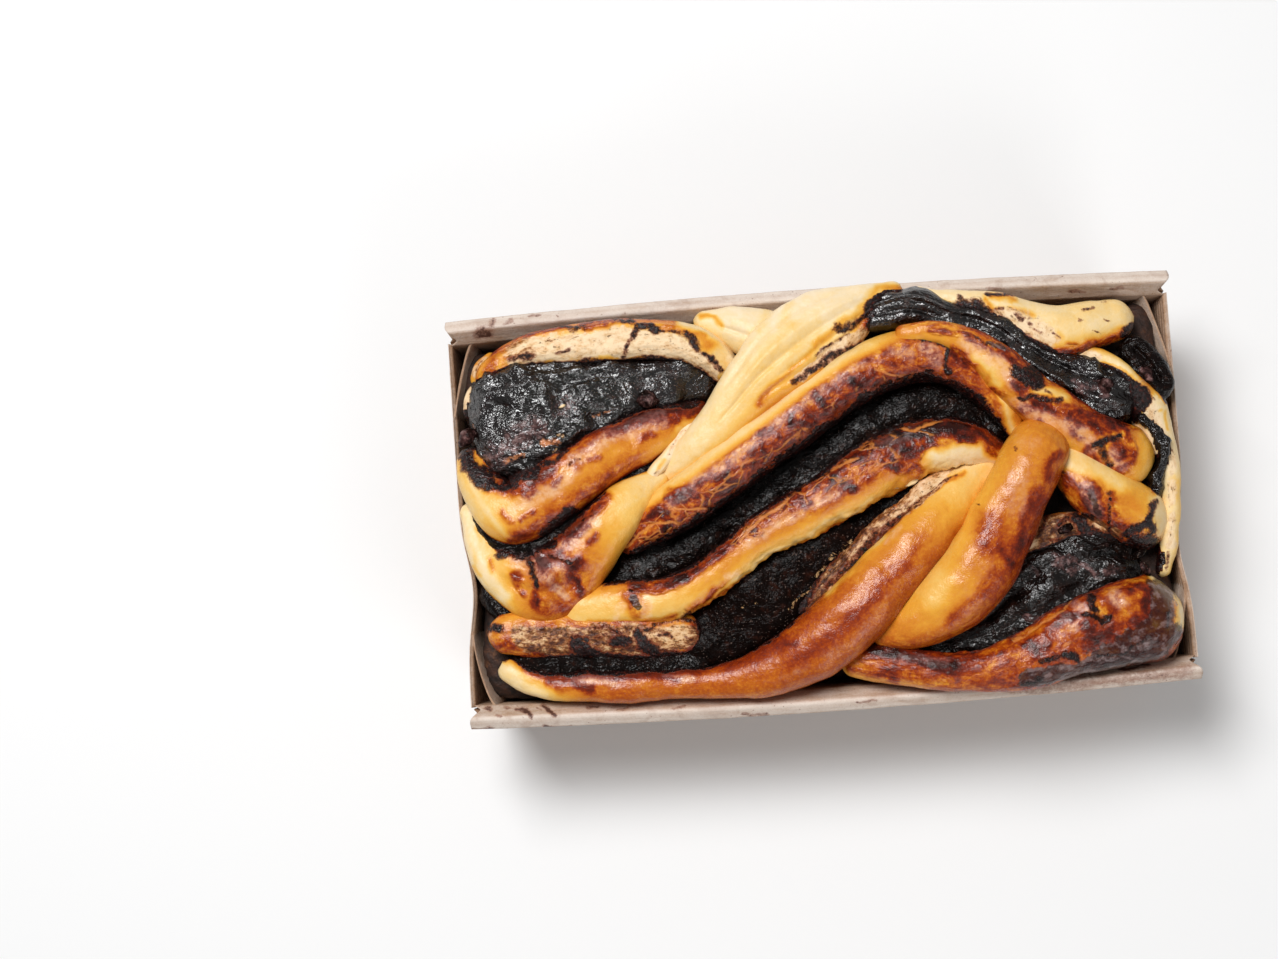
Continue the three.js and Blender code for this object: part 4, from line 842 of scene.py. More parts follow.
def ribbon(name, spec):
    """One chocolate filling: the tube, heaped into soft mounds and covered with grains. Its folds and
    wrinkles, which are higher where it is wet, are ridges along the zeros of noise: a level less the
    noise without its sign."""
    loops, tips, wide, line, run = tube(spec["path"], spec["flat"], RIBBON_SQUARENESS)
    salt = 700 + 31 * sorted(FILLINGS).index(name)
    marks = painted(spec, loops, wide, run, salt)
    wet_first, wet_last = spec["wet"]
    wet = (wet_first + (wet_last - wet_first) * fade(run, 0.35, 0.8))[:, None]
    mounds = lumps(loops, 13, salt) + 0.8 * lumps(loops, 5, salt + 1)
    folds = 0.4 - np.abs(lumps(loops * [0.6, 1, 1], 6, salt + 3))
    wrinkles = 0.2 - np.abs(rough(loops * [0.7, 1, 1], 4.4, 2, salt + 7))
    grains, fine_grains = pebbles(loops, 2.4, salt + 2), pebbles(loops, 1.1, salt + 5)
    relief = mounds - creased(spec, wide, run) + (0.2 + 1.6 * wet) * folds + 2.6 * wet * wrinkles
    relief += (0.1 + 0.2 * wet) * grains + 0.14 * fine_grains - 0.3
    marks = {kind: marks[kind] for kind in ("haze", "gold", "crumb")}
    marks["wet"] = np.broadcast_to(wet, relief.shape)
    return sweep("ribbon_" + name, loops + outward(loops) * relief[..., None], tips, marks)


TOPS = chocolate_map()


# ---- Paper case ---------------------------------------------------------------------------

CASE_LENGTH, CASE_WIDTH, RIM_HEIGHT = 235, 133, 62
BOARD = 1.2
HEM_WIDTH, HEM_DROP, HEM_LIP = 7.4, 2.4, 2.6
END_PROUD, END_HEIGHT = 0.6, 57  # how far the end walls stand out past the long ones, and how high
TAPER = 0.05  # the share by which the base is smaller
SIDE_BOW = 2.4
END_DENT, END_DENT_Y, END_DENT_SPREAD = 3.2, -22, 15
NEAR_SIDE, NEAR_END = 0.6, 0.85  # the shares of the way out from which walls carry their bends along
GUSSET_ALONG_SIDE, GUSSET_ALONG_END, GUSSET_BEND = 7, 24, 2.8
GUSSET_BOARD = 0.6
GUSSET_LEAN, GUSSET_LEAN_DEPTH = 4.5, 18  # how far in the sheet leans, over that depth from its top
GUSSET_SAG = 3  # how much lower its top edge is in the middle
FLUTE, FLUTE_DEPTH = 2.6, 0.16  # pitch and height of the corrugation that prints through
NOTCH, TIP_PROUD = 2.6, 0.5  # how far the hem's ends are cut back at its fold, and stand out past it
LONG_RINGS, END_RINGS, GUSSET_RINGS, BASE_RINGS = 300, 160, 70, 90
STAINS_FROM = (50, 54)  # heights between which the stains set in

# Chocolate smeared on the paper: [half width, strength, x, y, x, y, ...], as the marks on a strand.
CASE_STAINS = [
    [2.6, 0.66, -107, 60.8, -103.6, 61.6], [1.2, 0.7, -102, 63.4, -101.4, 64.4],
    [0.9, 0.9, -106, 60, -103, 60.4], [0.6, 0.6, -97.6, 63.6, -95.6, 64.4],
    [0.5, 0.6, -90, 65.4, -87, 65.6], [3.2, 0.46, 56, -65.4, 90, -64.6, 112, -63.8],
    [0.9, 0.9, -100.4, -60.4, -98.6, -62, -98, -63.4], [0.7, 0.8, -102.6, -60.4, -101, -61],
    [0.9, 0.9, -93.6, -60, -92, -61.6, -90.4, -63.4], [0.5, 0.7, -95.6, -60.6, -94.4, -62],
    [0.6, 0.7, -112.6, -59.6, -111, -60.4], [0.6, 0.6, -109, -62.4, -108, -63.2],
    [0.6, 0.6, -106, -60, -104.6, -60.4], [1.6, 0.9, -117.6, -67.4, -114, -67.8, -111, -67.4],
    [0.9, 0.8, -104, -67.6, -101, -68], [0.7, 0.7, -94, -66.8, -90, -67.4, -85, -67.6],
    [1.4, 1, -64, -69.6, -60, -70, -55, -69.8], [0.6, 0.7, -80, -62, -76, -61.6],
    [0.5, 0.6, -70, -63.4, -66, -63], [0.5, 0.6, -52, -64, -48, -63.4],
    [0.6, 0.6, -30, -67.6, -22, -68], [0.5, 0.6, 6, -66, 12, -66.4], [0.5, 0.5, 58, 63.6, 64, 63.4],
    [0.5, 0.6, 98, 60.8, 102, 60.6], [0.6, 0.6, 84, 60.6, 90, 60.4],
    [0.8, 0.8, 100, -60.6, 96, -61.4, 90, -61.6],
]

HALF_LENGTH, HALF_WIDTH = CASE_LENGTH / 2, CASE_WIDTH / 2
WALL_Y = HALF_WIDTH - HEM_WIDTH
END_X = HALF_LENGTH + END_PROUD - BOARD
HEM_FOOT = END_HEIGHT - 0.6
RIDGE_Y = WALL_Y + HEM_WIDTH * 0.5
LIP_Z = RIM_HEIGHT - HEM_DROP


def settle(at):
    """Bends a straight-walled shape into the real case: smaller at the base by the taper, the long
    walls bowed by a parabola along them, and the end walls pulled in by a bell curve."""
    x, y, z = np.moveaxis(at, -1, 0)
    height = z / RIM_HEIGHT
    scale = 1 - TAPER * (1 - height)
    bow = SIDE_BOW * np.maximum(0, 1 - (x / HALF_LENGTH) ** 2) * height
    near_side = fade(np.abs(y), WALL_Y * NEAR_SIDE, WALL_Y)
    near_end = fade(np.abs(x), END_X * NEAR_END, END_X)
    dent = END_DENT * np.exp(-(((y - END_DENT_Y) / END_DENT_SPREAD) ** 2)) * height
    new_x = x * scale - np.sign(x) * dent * near_end
    new_y = y * scale + np.sign(y) * bow * near_side
    return np.stack([new_x, new_y, z], -1)


def refine(profile, step):
    """The closed profile, whose rows are [place, height, tone with painted light and shade], with points
    added along each side, no further apart than step."""
    corners = np.asarray(profile, float)
    points = []
    for start, end in zip(corners, np.roll(corners, -1, axis=0)):
        count = max(1, int(np.ceil(np.linalg.norm((end - start)[:2]) / step)))
        points.append(start + (end - start) * (np.arange(count) / count)[:, None])
    return np.concatenate(points)


def board(name, loops, tone, flutes):
    """A piece of paper board: the swept loops, bent as the case is, slightly cockled, with its flutes
    as a fine sine wave of the given coordinate. Its tone runs from 0, the brown inside, to 1, a pale
    edge, and holds painted light and shade as well: paler ridges and edges, darker undersides."""
    bent = settle(loops)
    cockles, dimples, fuzz = rough(bent, 18, 3, 40), rough(bent, 5, 2, 44), lumps(bent, 1.2, 47)
    relief = 0.16 * cockles + 0.1 * dimples + 0.03 * fuzz
    relief = relief + FLUTE_DEPTH * np.sin(2 * np.pi * flutes / FLUTE)
    plan = on_plan(bent) + 1.3 * np.stack([rough(bent, 3, 4, 50), rough(bent, 3, 4, 54)], -1)
    stain = np.zeros(plan.shape[:-1])
    for width, strength, *points in CASE_STAINS:
        stain = np.maximum(stain, strength * stroke(plan, points, width))
    marks = {"tone": np.broadcast_to(tone, stain.shape), "stain": stain * fade(bent[..., 2], *STAINS_FROM),
             "flute": np.broadcast_to(flutes / FLUTE, stain.shape)}
    return sweep(name, bent + outward(bent) * relief[..., None], marks=marks)


def carried(profile, along, first):
    """Rings of a profile, whose rows are [place, height, tone with painted light and shade], at each
    place along the other axis: X if first is 0, Y if it is 1. Gives the rings and the tone of each
    point."""
    loops = np.empty((len(along), len(profile), 3))
    loops[..., first] = along[:, None]
    loops[..., 1 - first] = profile[:, 0]
    loops[..., 2] = profile[:, 1]
    return loops, profile[None, :, 2]


def long_wall(name, side):
    """One long wall with its hem, carried along X: up the wall, out over the ridge, down to the
    turned lip, back under it and down the outer face. Its ends are cut back at the fold of the hem."""
    # tones along the profile hold painted light and shade: paler ridge and lip, darker underside and foot
    profile = refine([
        [WALL_Y, 0.3, 0.36], [WALL_Y, HEM_FOOT, 0.56], [WALL_Y + 1.4, HEM_FOOT + 2.2, 0.64],
        [RIDGE_Y - 0.7, RIM_HEIGHT - 0.5, 0.6], [RIDGE_Y, RIM_HEIGHT, 0.86],
        [RIDGE_Y + 0.8, RIM_HEIGHT - 0.1, 0.8], [RIDGE_Y + 1.9, RIM_HEIGHT - 0.9, 0.72],
        [HALF_WIDTH - 0.5, LIP_Z + 0.2, 0.84], [HALF_WIDTH, LIP_Z - 0.5, 0.7],
        [HALF_WIDTH, LIP_Z - HEM_LIP, 0.42],
        [HALF_WIDTH - BOARD, LIP_Z - HEM_LIP, 0.3], [HALF_WIDTH - BOARD - 0.2, LIP_Z - 1.2, 0.3],
        [RIDGE_Y + 0.3, RIM_HEIGHT - BOARD - 0.4, 0.3], [WALL_Y + BOARD, HEM_FOOT - 1, 0.3],
        [WALL_Y + BOARD, 0.3, 0.5]], 0.6)
    loops, tone = carried(profile, np.linspace(-1, 1, LONG_RINGS), 0)
    fold = np.exp(-(((profile[:, 0] - WALL_Y - 1.2) / 1.7) ** 2))
    fold *= fade(profile[:, 1], HEM_FOOT - 1, HEM_FOOT + 2)
    hem = fade(profile[:, 0], RIDGE_Y - 1, RIDGE_Y + 2)
    loops[..., 0] *= HALF_LENGTH - NOTCH * fold + TIP_PROUD * hem
    if side < 0:
        loops = loops * [-1, -1, 1]
    flutes = np.where(loops[..., 2] < HEM_FOOT, loops[..., 2], 0)
    return board(name, loops[:, ::-1], tone[:, ::-1], flutes[:, ::-1])


def end_wall(name, side):
    """One end wall, carried along Y, with the inner side of its top edge worn down."""
    # tones along the profile hold painted light: the inner face grows paler towards its top edge
    profile = refine([
        [END_X, 0.3, 0.36], [END_X, END_HEIGHT - 1.6, 0.46], [END_X + BOARD - 0.35, END_HEIGHT, 0.6],
        [END_X + BOARD, END_HEIGHT, 0.8], [END_X + BOARD, END_HEIGHT - 1, 0.5],
        [END_X + BOARD, 0.3, 0.5]], 0.4)
    reach = WALL_Y + BOARD / 2
    loops, tone = carried(profile, np.linspace(-reach, reach, END_RINGS), 1)
    if side < 0:
        loops = loops * [-1, -1, 1]
    return board(name, loops, tone, loops[..., 2])


def gusset(name, sx, sy):
    """One gusset: a thin sheet that rounds the corner on a quadratic curve, leaning inwards below its
    top edge, which is lowest in the middle of the bend."""
    share = np.linspace(0, 1, GUSSET_RINGS)[:, None]
    top = END_HEIGHT - 0.4
    profile = refine([[0, 1, 0.5], [0, top - 0.5, 0.62], [0, top, 0.5], [GUSSET_BOARD, top, 0.45],
                      [GUSSET_BOARD, 1, 0.4]], 0.7)
    out, z = profile[:, 0], profile[:, 1] * np.ones_like(share)
    lean = GUSSET_LEAN * np.clip((top - z) / GUSSET_LEAN_DEPTH, 0, 1)
    z = z - GUSSET_SAG * np.sin(np.pi * share) * (z / END_HEIGHT) ** 4
    on_end = [END_X + 0.3, WALL_Y - GUSSET_ALONG_END]
    bend = [END_X - GUSSET_BEND, WALL_Y - GUSSET_BEND]
    on_side = [END_X - GUSSET_ALONG_SIDE, WALL_Y + 0.3]
    curve = [(1 - share) ** 2 * a + 2 * share * (1 - share) * b + share**2 * c
             for a, b, c in zip(on_end, bend, on_side)]
    inward = lean * np.sin(np.pi * share) ** 0.6 - out
    loops = np.stack([(curve[0] - inward * 0.7) * sx, (curve[1] - inward * 0.7) * sy, z], -1)
    order = 1 if sx * sy > 0 else -1  # a mirrored corner runs the other way round
    return board(name, loops[:, ::order], profile[None, ::order, 2], np.zeros(1))


def case_base(name):
    """The base of the case: a slab between the walls, carried along X."""
    edge = WALL_Y + 0.5
    profile = refine([[-edge, 0, 0.5], [edge, 0, 0.5], [edge, BOARD, 0.3], [-edge, BOARD, 0.3]], 3)
    loops, tone = carried(profile, np.linspace(-END_X - 0.5, END_X + 0.5, BASE_RINGS), 0)
    return sweep(name, settle(loops), marks={"tone": np.broadcast_to(tone, loops.shape[:2])})


# ---- Loaf body ----------------------------------------------------------------------------

BODY_FOOT, BODY_TOP = 2, 54
BODY_RINGS, BODY_SPOKES = 200, 260
BODY_SQUARENESS = 0.22
BODY_CAP, BODY_TIP = 0.04, 0.86  # each end rounds off over that share of half its length, to that size


def loaf_body(name):
    """What lies under the strands: a boxy tube along X, whose section is a superellipse that fills
    the case, with a top that noise heaves up and down."""
    along = np.linspace(-1, 1, BODY_RINGS)[:, None]
    turn = (2 * np.pi * np.arange(BODY_SPOKES) / BODY_SPOKES)[None, :]
    cap = np.clip((1 - np.abs(along)) / BODY_CAP, 0, 1)
    cap = BODY_TIP + (1 - BODY_TIP) * np.sqrt(1 - (1 - cap) ** 2)
    wide = np.sign(np.cos(turn)) * np.abs(np.cos(turn)) ** BODY_SQUARENESS
    tall = np.sign(np.sin(turn)) * np.abs(np.sin(turn)) ** BODY_SQUARENESS
    loops = np.empty((BODY_RINGS, BODY_SPOKES, 3))
    loops[..., 0] = along * (END_X - 3)
    loops[..., 1] = wide * cap * (WALL_Y - 1.4)
    loops[..., 2] = BODY_FOOT + (1 + tall * cap) / 2 * (BODY_TOP - BODY_FOOT)
    loops = settle(loops)
    top = fade(loops[..., 2], BODY_TOP - 14, BODY_TOP - 4)
    relief = top * (2.0 * lumps(loops, 14, 900) + 0.8 * pebbles(loops, 2.2, 905)) - 0.4
    return sweep(name, loops + outward(loops) * relief[..., None])


# ---- Finishes -----------------------------------------------------------------------------

class Wire:
    """One value in a finish's node tree. Arithmetic on it adds Math nodes."""

    def __init__(self, paint, socket):
        self.paint, self.socket = paint, socket

    def _math(self, operation, *others):
        """A Math node of that operation."""
        return self.paint.node("ShaderNodeMath", {"operation": operation}, *others)

    def __add__(self, other):
        return self._math("ADD", self, other)

    def __radd__(self, other):
        return self._math("ADD", other, self)

    def __sub__(self, other):
        return self._math("SUBTRACT", self, other)

    def __rsub__(self, other):
        return self._math("SUBTRACT", other, self)

    def __mul__(self, other):
        return self._math("MULTIPLY", self, other)

    def __rmul__(self, other):
        return self._math("MULTIPLY", other, self)

    def most(self, other):
        """The larger of the two."""
        return self._math("MAXIMUM", self, other)

    def size(self):
        """The value without its sign."""
        return self._math("ABSOLUTE", self)

    def clamp(self):
        """The value, held between 0 and 1."""
        return self.paint.node("ShaderNodeClamp", {}, self)

    def step(self, low, high):
        """0 below low, 1 above high, smooth between."""
        return self.paint.node("ShaderNodeMapRange", {"interpolation_type": "SMOOTHSTEP"}, self, low, high)


def srgb(*levels):
    """A colour given in 0 to 255 screen levels, as the linear colour that a shader takes."""
    share = np.array(levels) / 255
    linear = np.where(share <= 0.04045, share / 12.92, ((share + 0.055) / 1.055) ** 2.4)
    return (*linear.tolist(), 1.0)


class Paint:
    """One finish: a material's node tree and the few ways this file adds to it."""

    def __init__(self, name, **constants):
        self.material = bpy.data.materials.new(name)
        self.material.use_nodes = True
        self.tree = self.material.node_tree
        self.shader = self.tree.nodes["Principled BSDF"]
        for socket, value in constants.items():
            self.shader.inputs[socket.replace("_", " ")].default_value = value

    def node(self, kind, settings, *inputs, output=0, **named):
        """Adds a node: its settings first, a ramp's stops among them, then its sockets, by name or by
        order, where None leaves a socket as it is."""
        made = self.tree.nodes.new(kind)
        for key, value in settings.items():
            if key == "stops":
                self.colour_stops(made.color_ramp, value)
            else:
                setattr(made, key, value)
        pairs = [(socket, value) for socket, value in zip(made.inputs, inputs) if value is not None]
        pairs += [(made.inputs[key.replace("_", " ")], value) for key, value in named.items()]
        for socket, value in pairs:
            self.feed(socket, value)
        return Wire(self, made.outputs[output])

    def colour_stops(self, band, stops):
        """Sets a ramp's stops, each a share and a colour."""
        while len(band.elements) < len(stops):
            band.elements.new(1.0)
        for element, (share, colour) in zip(band.elements, stops):
            element.position, element.color = share, colour

    def feed(self, socket, value):
        """Links a wire to a socket, or sets the socket to a plain value."""
        if isinstance(value, Wire):
            self.tree.links.new(value.socket, socket)
        else:
            socket.default_value = value

    def to(self, **values):
        """Feeds the shader's own sockets."""
        for key, value in values.items():
            self.feed(self.shader.inputs[key.replace("_", " ")], value)

    def mark(self, name):
        """What the piece's mesh says at each point: a mark's strength, the bake or the tone and shade."""
        return self.node("ShaderNodeAttribute", {"attribute_name": name}, output="Fac")

    def place(self):
        """Where a point is on the object, in metres."""
        return self.node("ShaderNodeTexCoord", {}, output="Object")

    def surface(self):
        """The piece's own UV map: along it and round it, in metres."""
        return self.node("ShaderNodeTexCoord", {}, output="UV")

    def stretched(self, vector, by):
        """A vector with each coordinate multiplied. Below 1 stretches a pattern along it."""
        return self.node("ShaderNodeVectorMath", {"operation": "MULTIPLY"}, vector, by)

    def jolted(self, vector, reach, size):
        """A vector moved about by up to the reach, with noise of the given size, both in mm."""
        drift = self.node("ShaderNodeTexNoise", {}, Vector=vector, Scale=1 / (size * MM), output="Color")
        drift = self.node("ShaderNodeVectorMath", {"operation": "SUBTRACT"}, drift, (0.5, 0.5, 0.5))
        drift = self.stretched(drift, (reach * MM,) * 3)
        return self.node("ShaderNodeVectorMath", {"operation": "ADD"}, vector, drift)

    def noise(self, size, detail=3.0, roughness=0.55, at=None, warp=0.0):
        """Noise from 0 to 1 whose lumps are about the given size in millimetres."""
        return self.node("ShaderNodeTexNoise", {}, Vector=at or self.place(), Scale=1 / (size * MM),
                         Detail=detail, Roughness=roughness, Distortion=warp)

    def seams(self, size, at):
        """The distance to the nearest seam between cells of about the given size in millimetres."""
        return self.node("ShaderNodeTexVoronoi", {"feature": "DISTANCE_TO_EDGE"}, output="Distance",
                         Vector=at, Scale=1 / (size * MM))

    def ramp(self, value, stops):
        """The colour that a value has in a row of colours."""
        return self.node("ShaderNodeValToRGB", {"stops": stops}, value)

    def mix(self, share, first, second):
        """The first colour with that share of the second over it. A Mix node's sockets for numbers and
        vectors lie between those for the share and the colours."""
        between = (None,) * 5
        return self.node("ShaderNodeMix", {"data_type": "RGBA"}, share, *between, first, second, output=2)

    def bump(self, height, distance, below=None):
        """Relief from a height of 0 to 1, over any relief below it. distance is in millimetres."""
        more = {"Normal": below} if below else {}
        return self.node("ShaderNodeBump", {}, Strength=1.0, Distance=distance * MM, Height=height, **more)


# Rows of colours: how far along the row, and the colour there. CRUST and the painted sheen run along
# the bake, KRAFT along the board's tone with its painted light and shade, and the others along noise.
CRUST = [
    (0.00, srgb(240, 219, 184)), (0.10, srgb(238, 206, 146)), (0.20, srgb(236, 188, 98)),
    (0.30, srgb(230, 164, 56)), (0.40, srgb(212, 132, 38)), (0.50, srgb(186, 94, 20)),
    (0.60, srgb(156, 60, 12)), (0.70, srgb(122, 38, 13)), (0.82, srgb(84, 25, 13)), (1.00, srgb(42, 13, 9))]
# a painted highlight: the rosy sheen of light on glaze, laid into the colour
PAINTED_SHEEN_COLOURS = [(0.5, srgb(250, 212, 176)), (0.72, srgb(190, 132, 124))]
OPEN_CRUMB = [
    (0.2, srgb(62, 30, 16)), (0.3, srgb(148, 92, 48)), (0.38, srgb(216, 174, 126)),
    (0.54, srgb(240, 212, 174))]
SMEAR = [(0.35, srgb(10, 5, 5)), (0.55, srgb(34, 12, 10)), (0.7, srgb(84, 30, 18))]
# chocolate skin from near black up to a painted grey reflection of light
DARK_SKIN_AND_SHEEN_COLOURS = [(0.38, srgb(16, 8, 8)), (0.52, srgb(38, 26, 26)), (0.64, srgb(116, 102, 102))]
CHOCOLATE = [(0.3, srgb(7, 4, 3)), (0.54, srgb(17, 8, 6)), (0.76, srgb(52, 25, 16))]
# a painted mauve highlight of light on chocolate
SHEEN = [(0.4, srgb(30, 16, 14)), (0.52, srgb(84, 54, 52)), (0.68, srgb(160, 122, 118))]
BARE_CRUST = [(0.35, srgb(96, 36, 16)), (0.6, srgb(206, 132, 84))]
LOOSE_CRUMBS = [(0.35, srgb(120, 78, 48)), (0.6, srgb(196, 158, 112))]
# paper from its brown inside to its pale edges; the board's tone lays painted light and shade on this
KRAFT = [
    (0.0, srgb(96, 68, 50)), (0.25, srgb(142, 108, 82)), (0.5, srgb(186, 154, 128)),
    (0.75, srgb(214, 196, 182)), (1.0, srgb(232, 220, 208))]
SOAKED_CRUMB = [(0.35, srgb(24, 15, 12)), (0.6, srgb(60, 34, 22)), (0.8, srgb(130, 82, 44))]
DOUGH_IN_CRACKS, HOLES = srgb(214, 132, 60), srgb(160, 96, 60)
# the second is for pale specks on chocolate: dust, and painted glints of light as well
RIM_OF_CHOCOLATE, DUST_AND_GLINTS = srgb(124, 48, 20), srgb(128, 108, 98)
GREASE, SPECKS = srgb(142, 96, 66), srgb(122, 68, 44)
THIN_STAIN, THICK_STAIN = srgb(138, 82, 60), srgb(66, 30, 22)
PALE_FLOOR = srgb(243, 243, 243)

# How strongly each chocolate finish reflects.
SHINES = {"wet": 1.0, "damp": 0.5, "moist": 0.17, "dry": 0.05}


def crust_finish():
    """Baked dough. The bake, with mottling that grows with it, is looked up in a row of crust colours.
    Over that come a painted rosy highlight, open crumb, cracks, chocolate and a dark skin with a
    painted grey reflection, each where its mark is strong, with an edge broken by noise. Glazed crust
    is blistered, and cracks run between blisters."""
    paint = Paint("baked crust", Specular_IOR_Level=0.36)
    streaked = paint.stretched(paint.surface(), (0.55, 1, 1))
    bake = paint.mark("bake")
    mottle = paint.mark("mottle")
    coarse = paint.noise(6, 6, 0.65, warp=0.8) - 0.5
    streak = paint.noise(2.6, 5, 0.65, at=streaked, warp=0.8) - 0.5
    freckle = paint.noise(0.9, 3, 0.6) - 0.5
    edge = paint.noise(2, 6, 0.72, warp=0.4) - 0.5
    blister = paint.noise(2.8, 2, 0.45, at=streaked)
    deep = bake.step(0.36, 0.6)
    choc = paint.mark("choc") + edge * 1.6 + freckle * 0.3
    uneven = deep * mottle
    level = bake + coarse * (0.16 + uneven * 0.9) + streak * (0.1 + uneven * 0.7)
    level = level + (blister - 0.5) * uneven * 0.4 + freckle * (0.08 + deep * 0.25)
    colour = paint.ramp(level, CRUST)
    # painted highlight: a rosy sheen of light mixed into the colour where the sheen marks are
    haze = (paint.mark("haze") + streak * 0.9 + edge * 0.5).step(0.15, 0.95)
    painted_sheen_strength = paint.noise(1.6, 5, 0.6).step(0.34, 0.62) * 0.34 + 0.16
    on_dark = level.step(0.56, 0.84)
    colour = paint.mix(haze * painted_sheen_strength * (1 - on_dark * 0.5), colour, paint.ramp(level, PAINTED_SHEEN_COLOURS))
    crumb = paint.mark("crumb")
    open_crumb = (crumb + edge * 0.7).step(0.25, 0.5)
    torn = paint.noise(1.8, 6, 0.72, at=streaked) - (bake - 0.16).step(0, 0.5) * 0.25
    colour = paint.mix(open_crumb * 0.9, colour, paint.ramp(torn, OPEN_CRUMB))
    holes = (paint.noise(1.1, 5, 0.75, at=streaked) - torn * 0.2).step(0.5, 0.58) * open_crumb
    colour = paint.mix(holes * 0.3, colour, HOLES)
    seam = paint.seams(4.6, at=paint.jolted(streaked, 2.5, 3.0))
    gold = 1 - (seam + freckle * 0.05).step(0.0, 0.075)
    gold = gold * (paint.mark("crack") + edge * 1.2).step(0.3, 0.7) * 0.8
    gold = gold.most((paint.mark("gold") + edge * 1.3).step(0.35, 0.9))
    colour = paint.mix(gold * 0.8, colour, DOUGH_IN_CRACKS)
    rim = (paint.mark("choc") * 3).clamp() * choc.step(0.1, 0.46)
    colour = paint.mix(rim * 0.8, colour, RIM_OF_CHOCOLATE)
    smear = choc.step(0.4, 0.66)
    colour = paint.mix(smear, colour, paint.ramp(paint.noise(1.3, 4, 0.6), SMEAR))
    # dark chocolate skin, with a painted grey reflection of light in its row of colours
    film = (paint.mark("film") + edge * 0.9).step(0.4, 0.62)
    colour = paint.mix(film * 0.85, colour, paint.ramp(paint.noise(2, 4, at=streaked), DARK_SKIN_AND_SHEEN_COLOURS))
    skin = paint.bump(paint.noise(3, 3, 0.5), 0.3)
    skin = paint.bump(blister * (uneven * 0.85 + 0.15), 0.9, skin)
    skin = paint.bump(streak * (uneven * 0.9 + 0.1), 0.5, skin)
    skin = paint.bump(paint.noise(0.5, 2, 0.5), 0.09, skin)
    skin = paint.bump(paint.noise(0.9, 2, 0.6) * smear, 0.45, skin)
    skin = paint.bump(gold, 0.12, skin)
    skin = paint.bump(holes, -0.3, skin)
    dull = (1 - bake.step(0.1, 0.42)) * 0.16 + crumb * 0.3 - (haze * 0.07 + uneven * 0.09 + film * 0.08)
    paint.to(Base_Color=colour, Normal=skin, Roughness=(dull + 0.25 + freckle * 0.3).clamp())
    return paint.material


def chocolate_finish(tag):
    """Baked chocolate: nearly black, wrinkled and glossy where it is wet, grainy where it is dry, with
    painted mauve highlights where its sheen marks are, pale specks that are partly dust and partly
    painted glints, bare crust showing through and crumbs stuck to it."""
    paint = Paint("chocolate " + tag, Specular_IOR_Level=SHINES[tag])
    wet = paint.mark("wet")
    edge = paint.noise(1.6, 5, 0.7, warp=0.4) - 0.5
    colour = paint.ramp(paint.noise(3, 4, 0.6) - wet * 0.06, CHOCOLATE)
    # painted highlight: a mauve sheen of light mixed into the colour where the sheen marks are
    sheen = (paint.mark("haze") + edge * 1.6).step(0.25, 0.85)
    colour = paint.mix(sheen * 0.75, colour, paint.ramp(paint.noise(2.4, 4, 0.6), SHEEN))
    bare = (paint.mark("gold") + edge * 1.8).step(0.5, 0.9)
    colour = paint.mix(bare, colour, paint.ramp(paint.noise(1.6, 3), BARE_CRUST))
    # pale specks, partly dust and partly painted glints of light, most where it is dry
    dust_and_glints = (paint.noise(0.7, 1, 0.4) + edge * 0.12).step(0.67, 0.72)
    colour = paint.mix(dust_and_glints * (0.4 - wet * 0.35), colour, DUST_AND_GLINTS)
    crumbs = (paint.mark("crumb") + edge * 2.2).step(0.62, 0.76)
    colour = paint.mix(crumbs, colour, paint.ramp(paint.noise(1, 3), LOOSE_CRUMBS))
    folds = (paint.noise(7, 4, 0.6, warp=0.6) - 0.5).size()
    drawn = paint.stretched(paint.place(), (0.75, 1.2, 1.2))
    wrinkle = (paint.noise(3, 3, 0.55, at=drawn, warp=0.6) - 0.5).size()
    skin = paint.bump(folds * (wet + 0.2), 1.3)
    skin = paint.bump(wrinkle * (wet * 0.3 + 0.7), 1.15, skin)
    skin = paint.bump(paint.noise(1.2, 2, 0.5), 0.2, skin)
    skin = paint.bump(crumbs, 0.3, skin)
    gloss = paint.noise(4, 4, 0.6).step(0.42, 0.6)
    roughness = 0.24 - (wet * 0.04 + gloss * wet * 0.07) + sheen * 0.05
    paint.to(Base_Color=colour, Normal=skin, Roughness=roughness)
    return paint.material


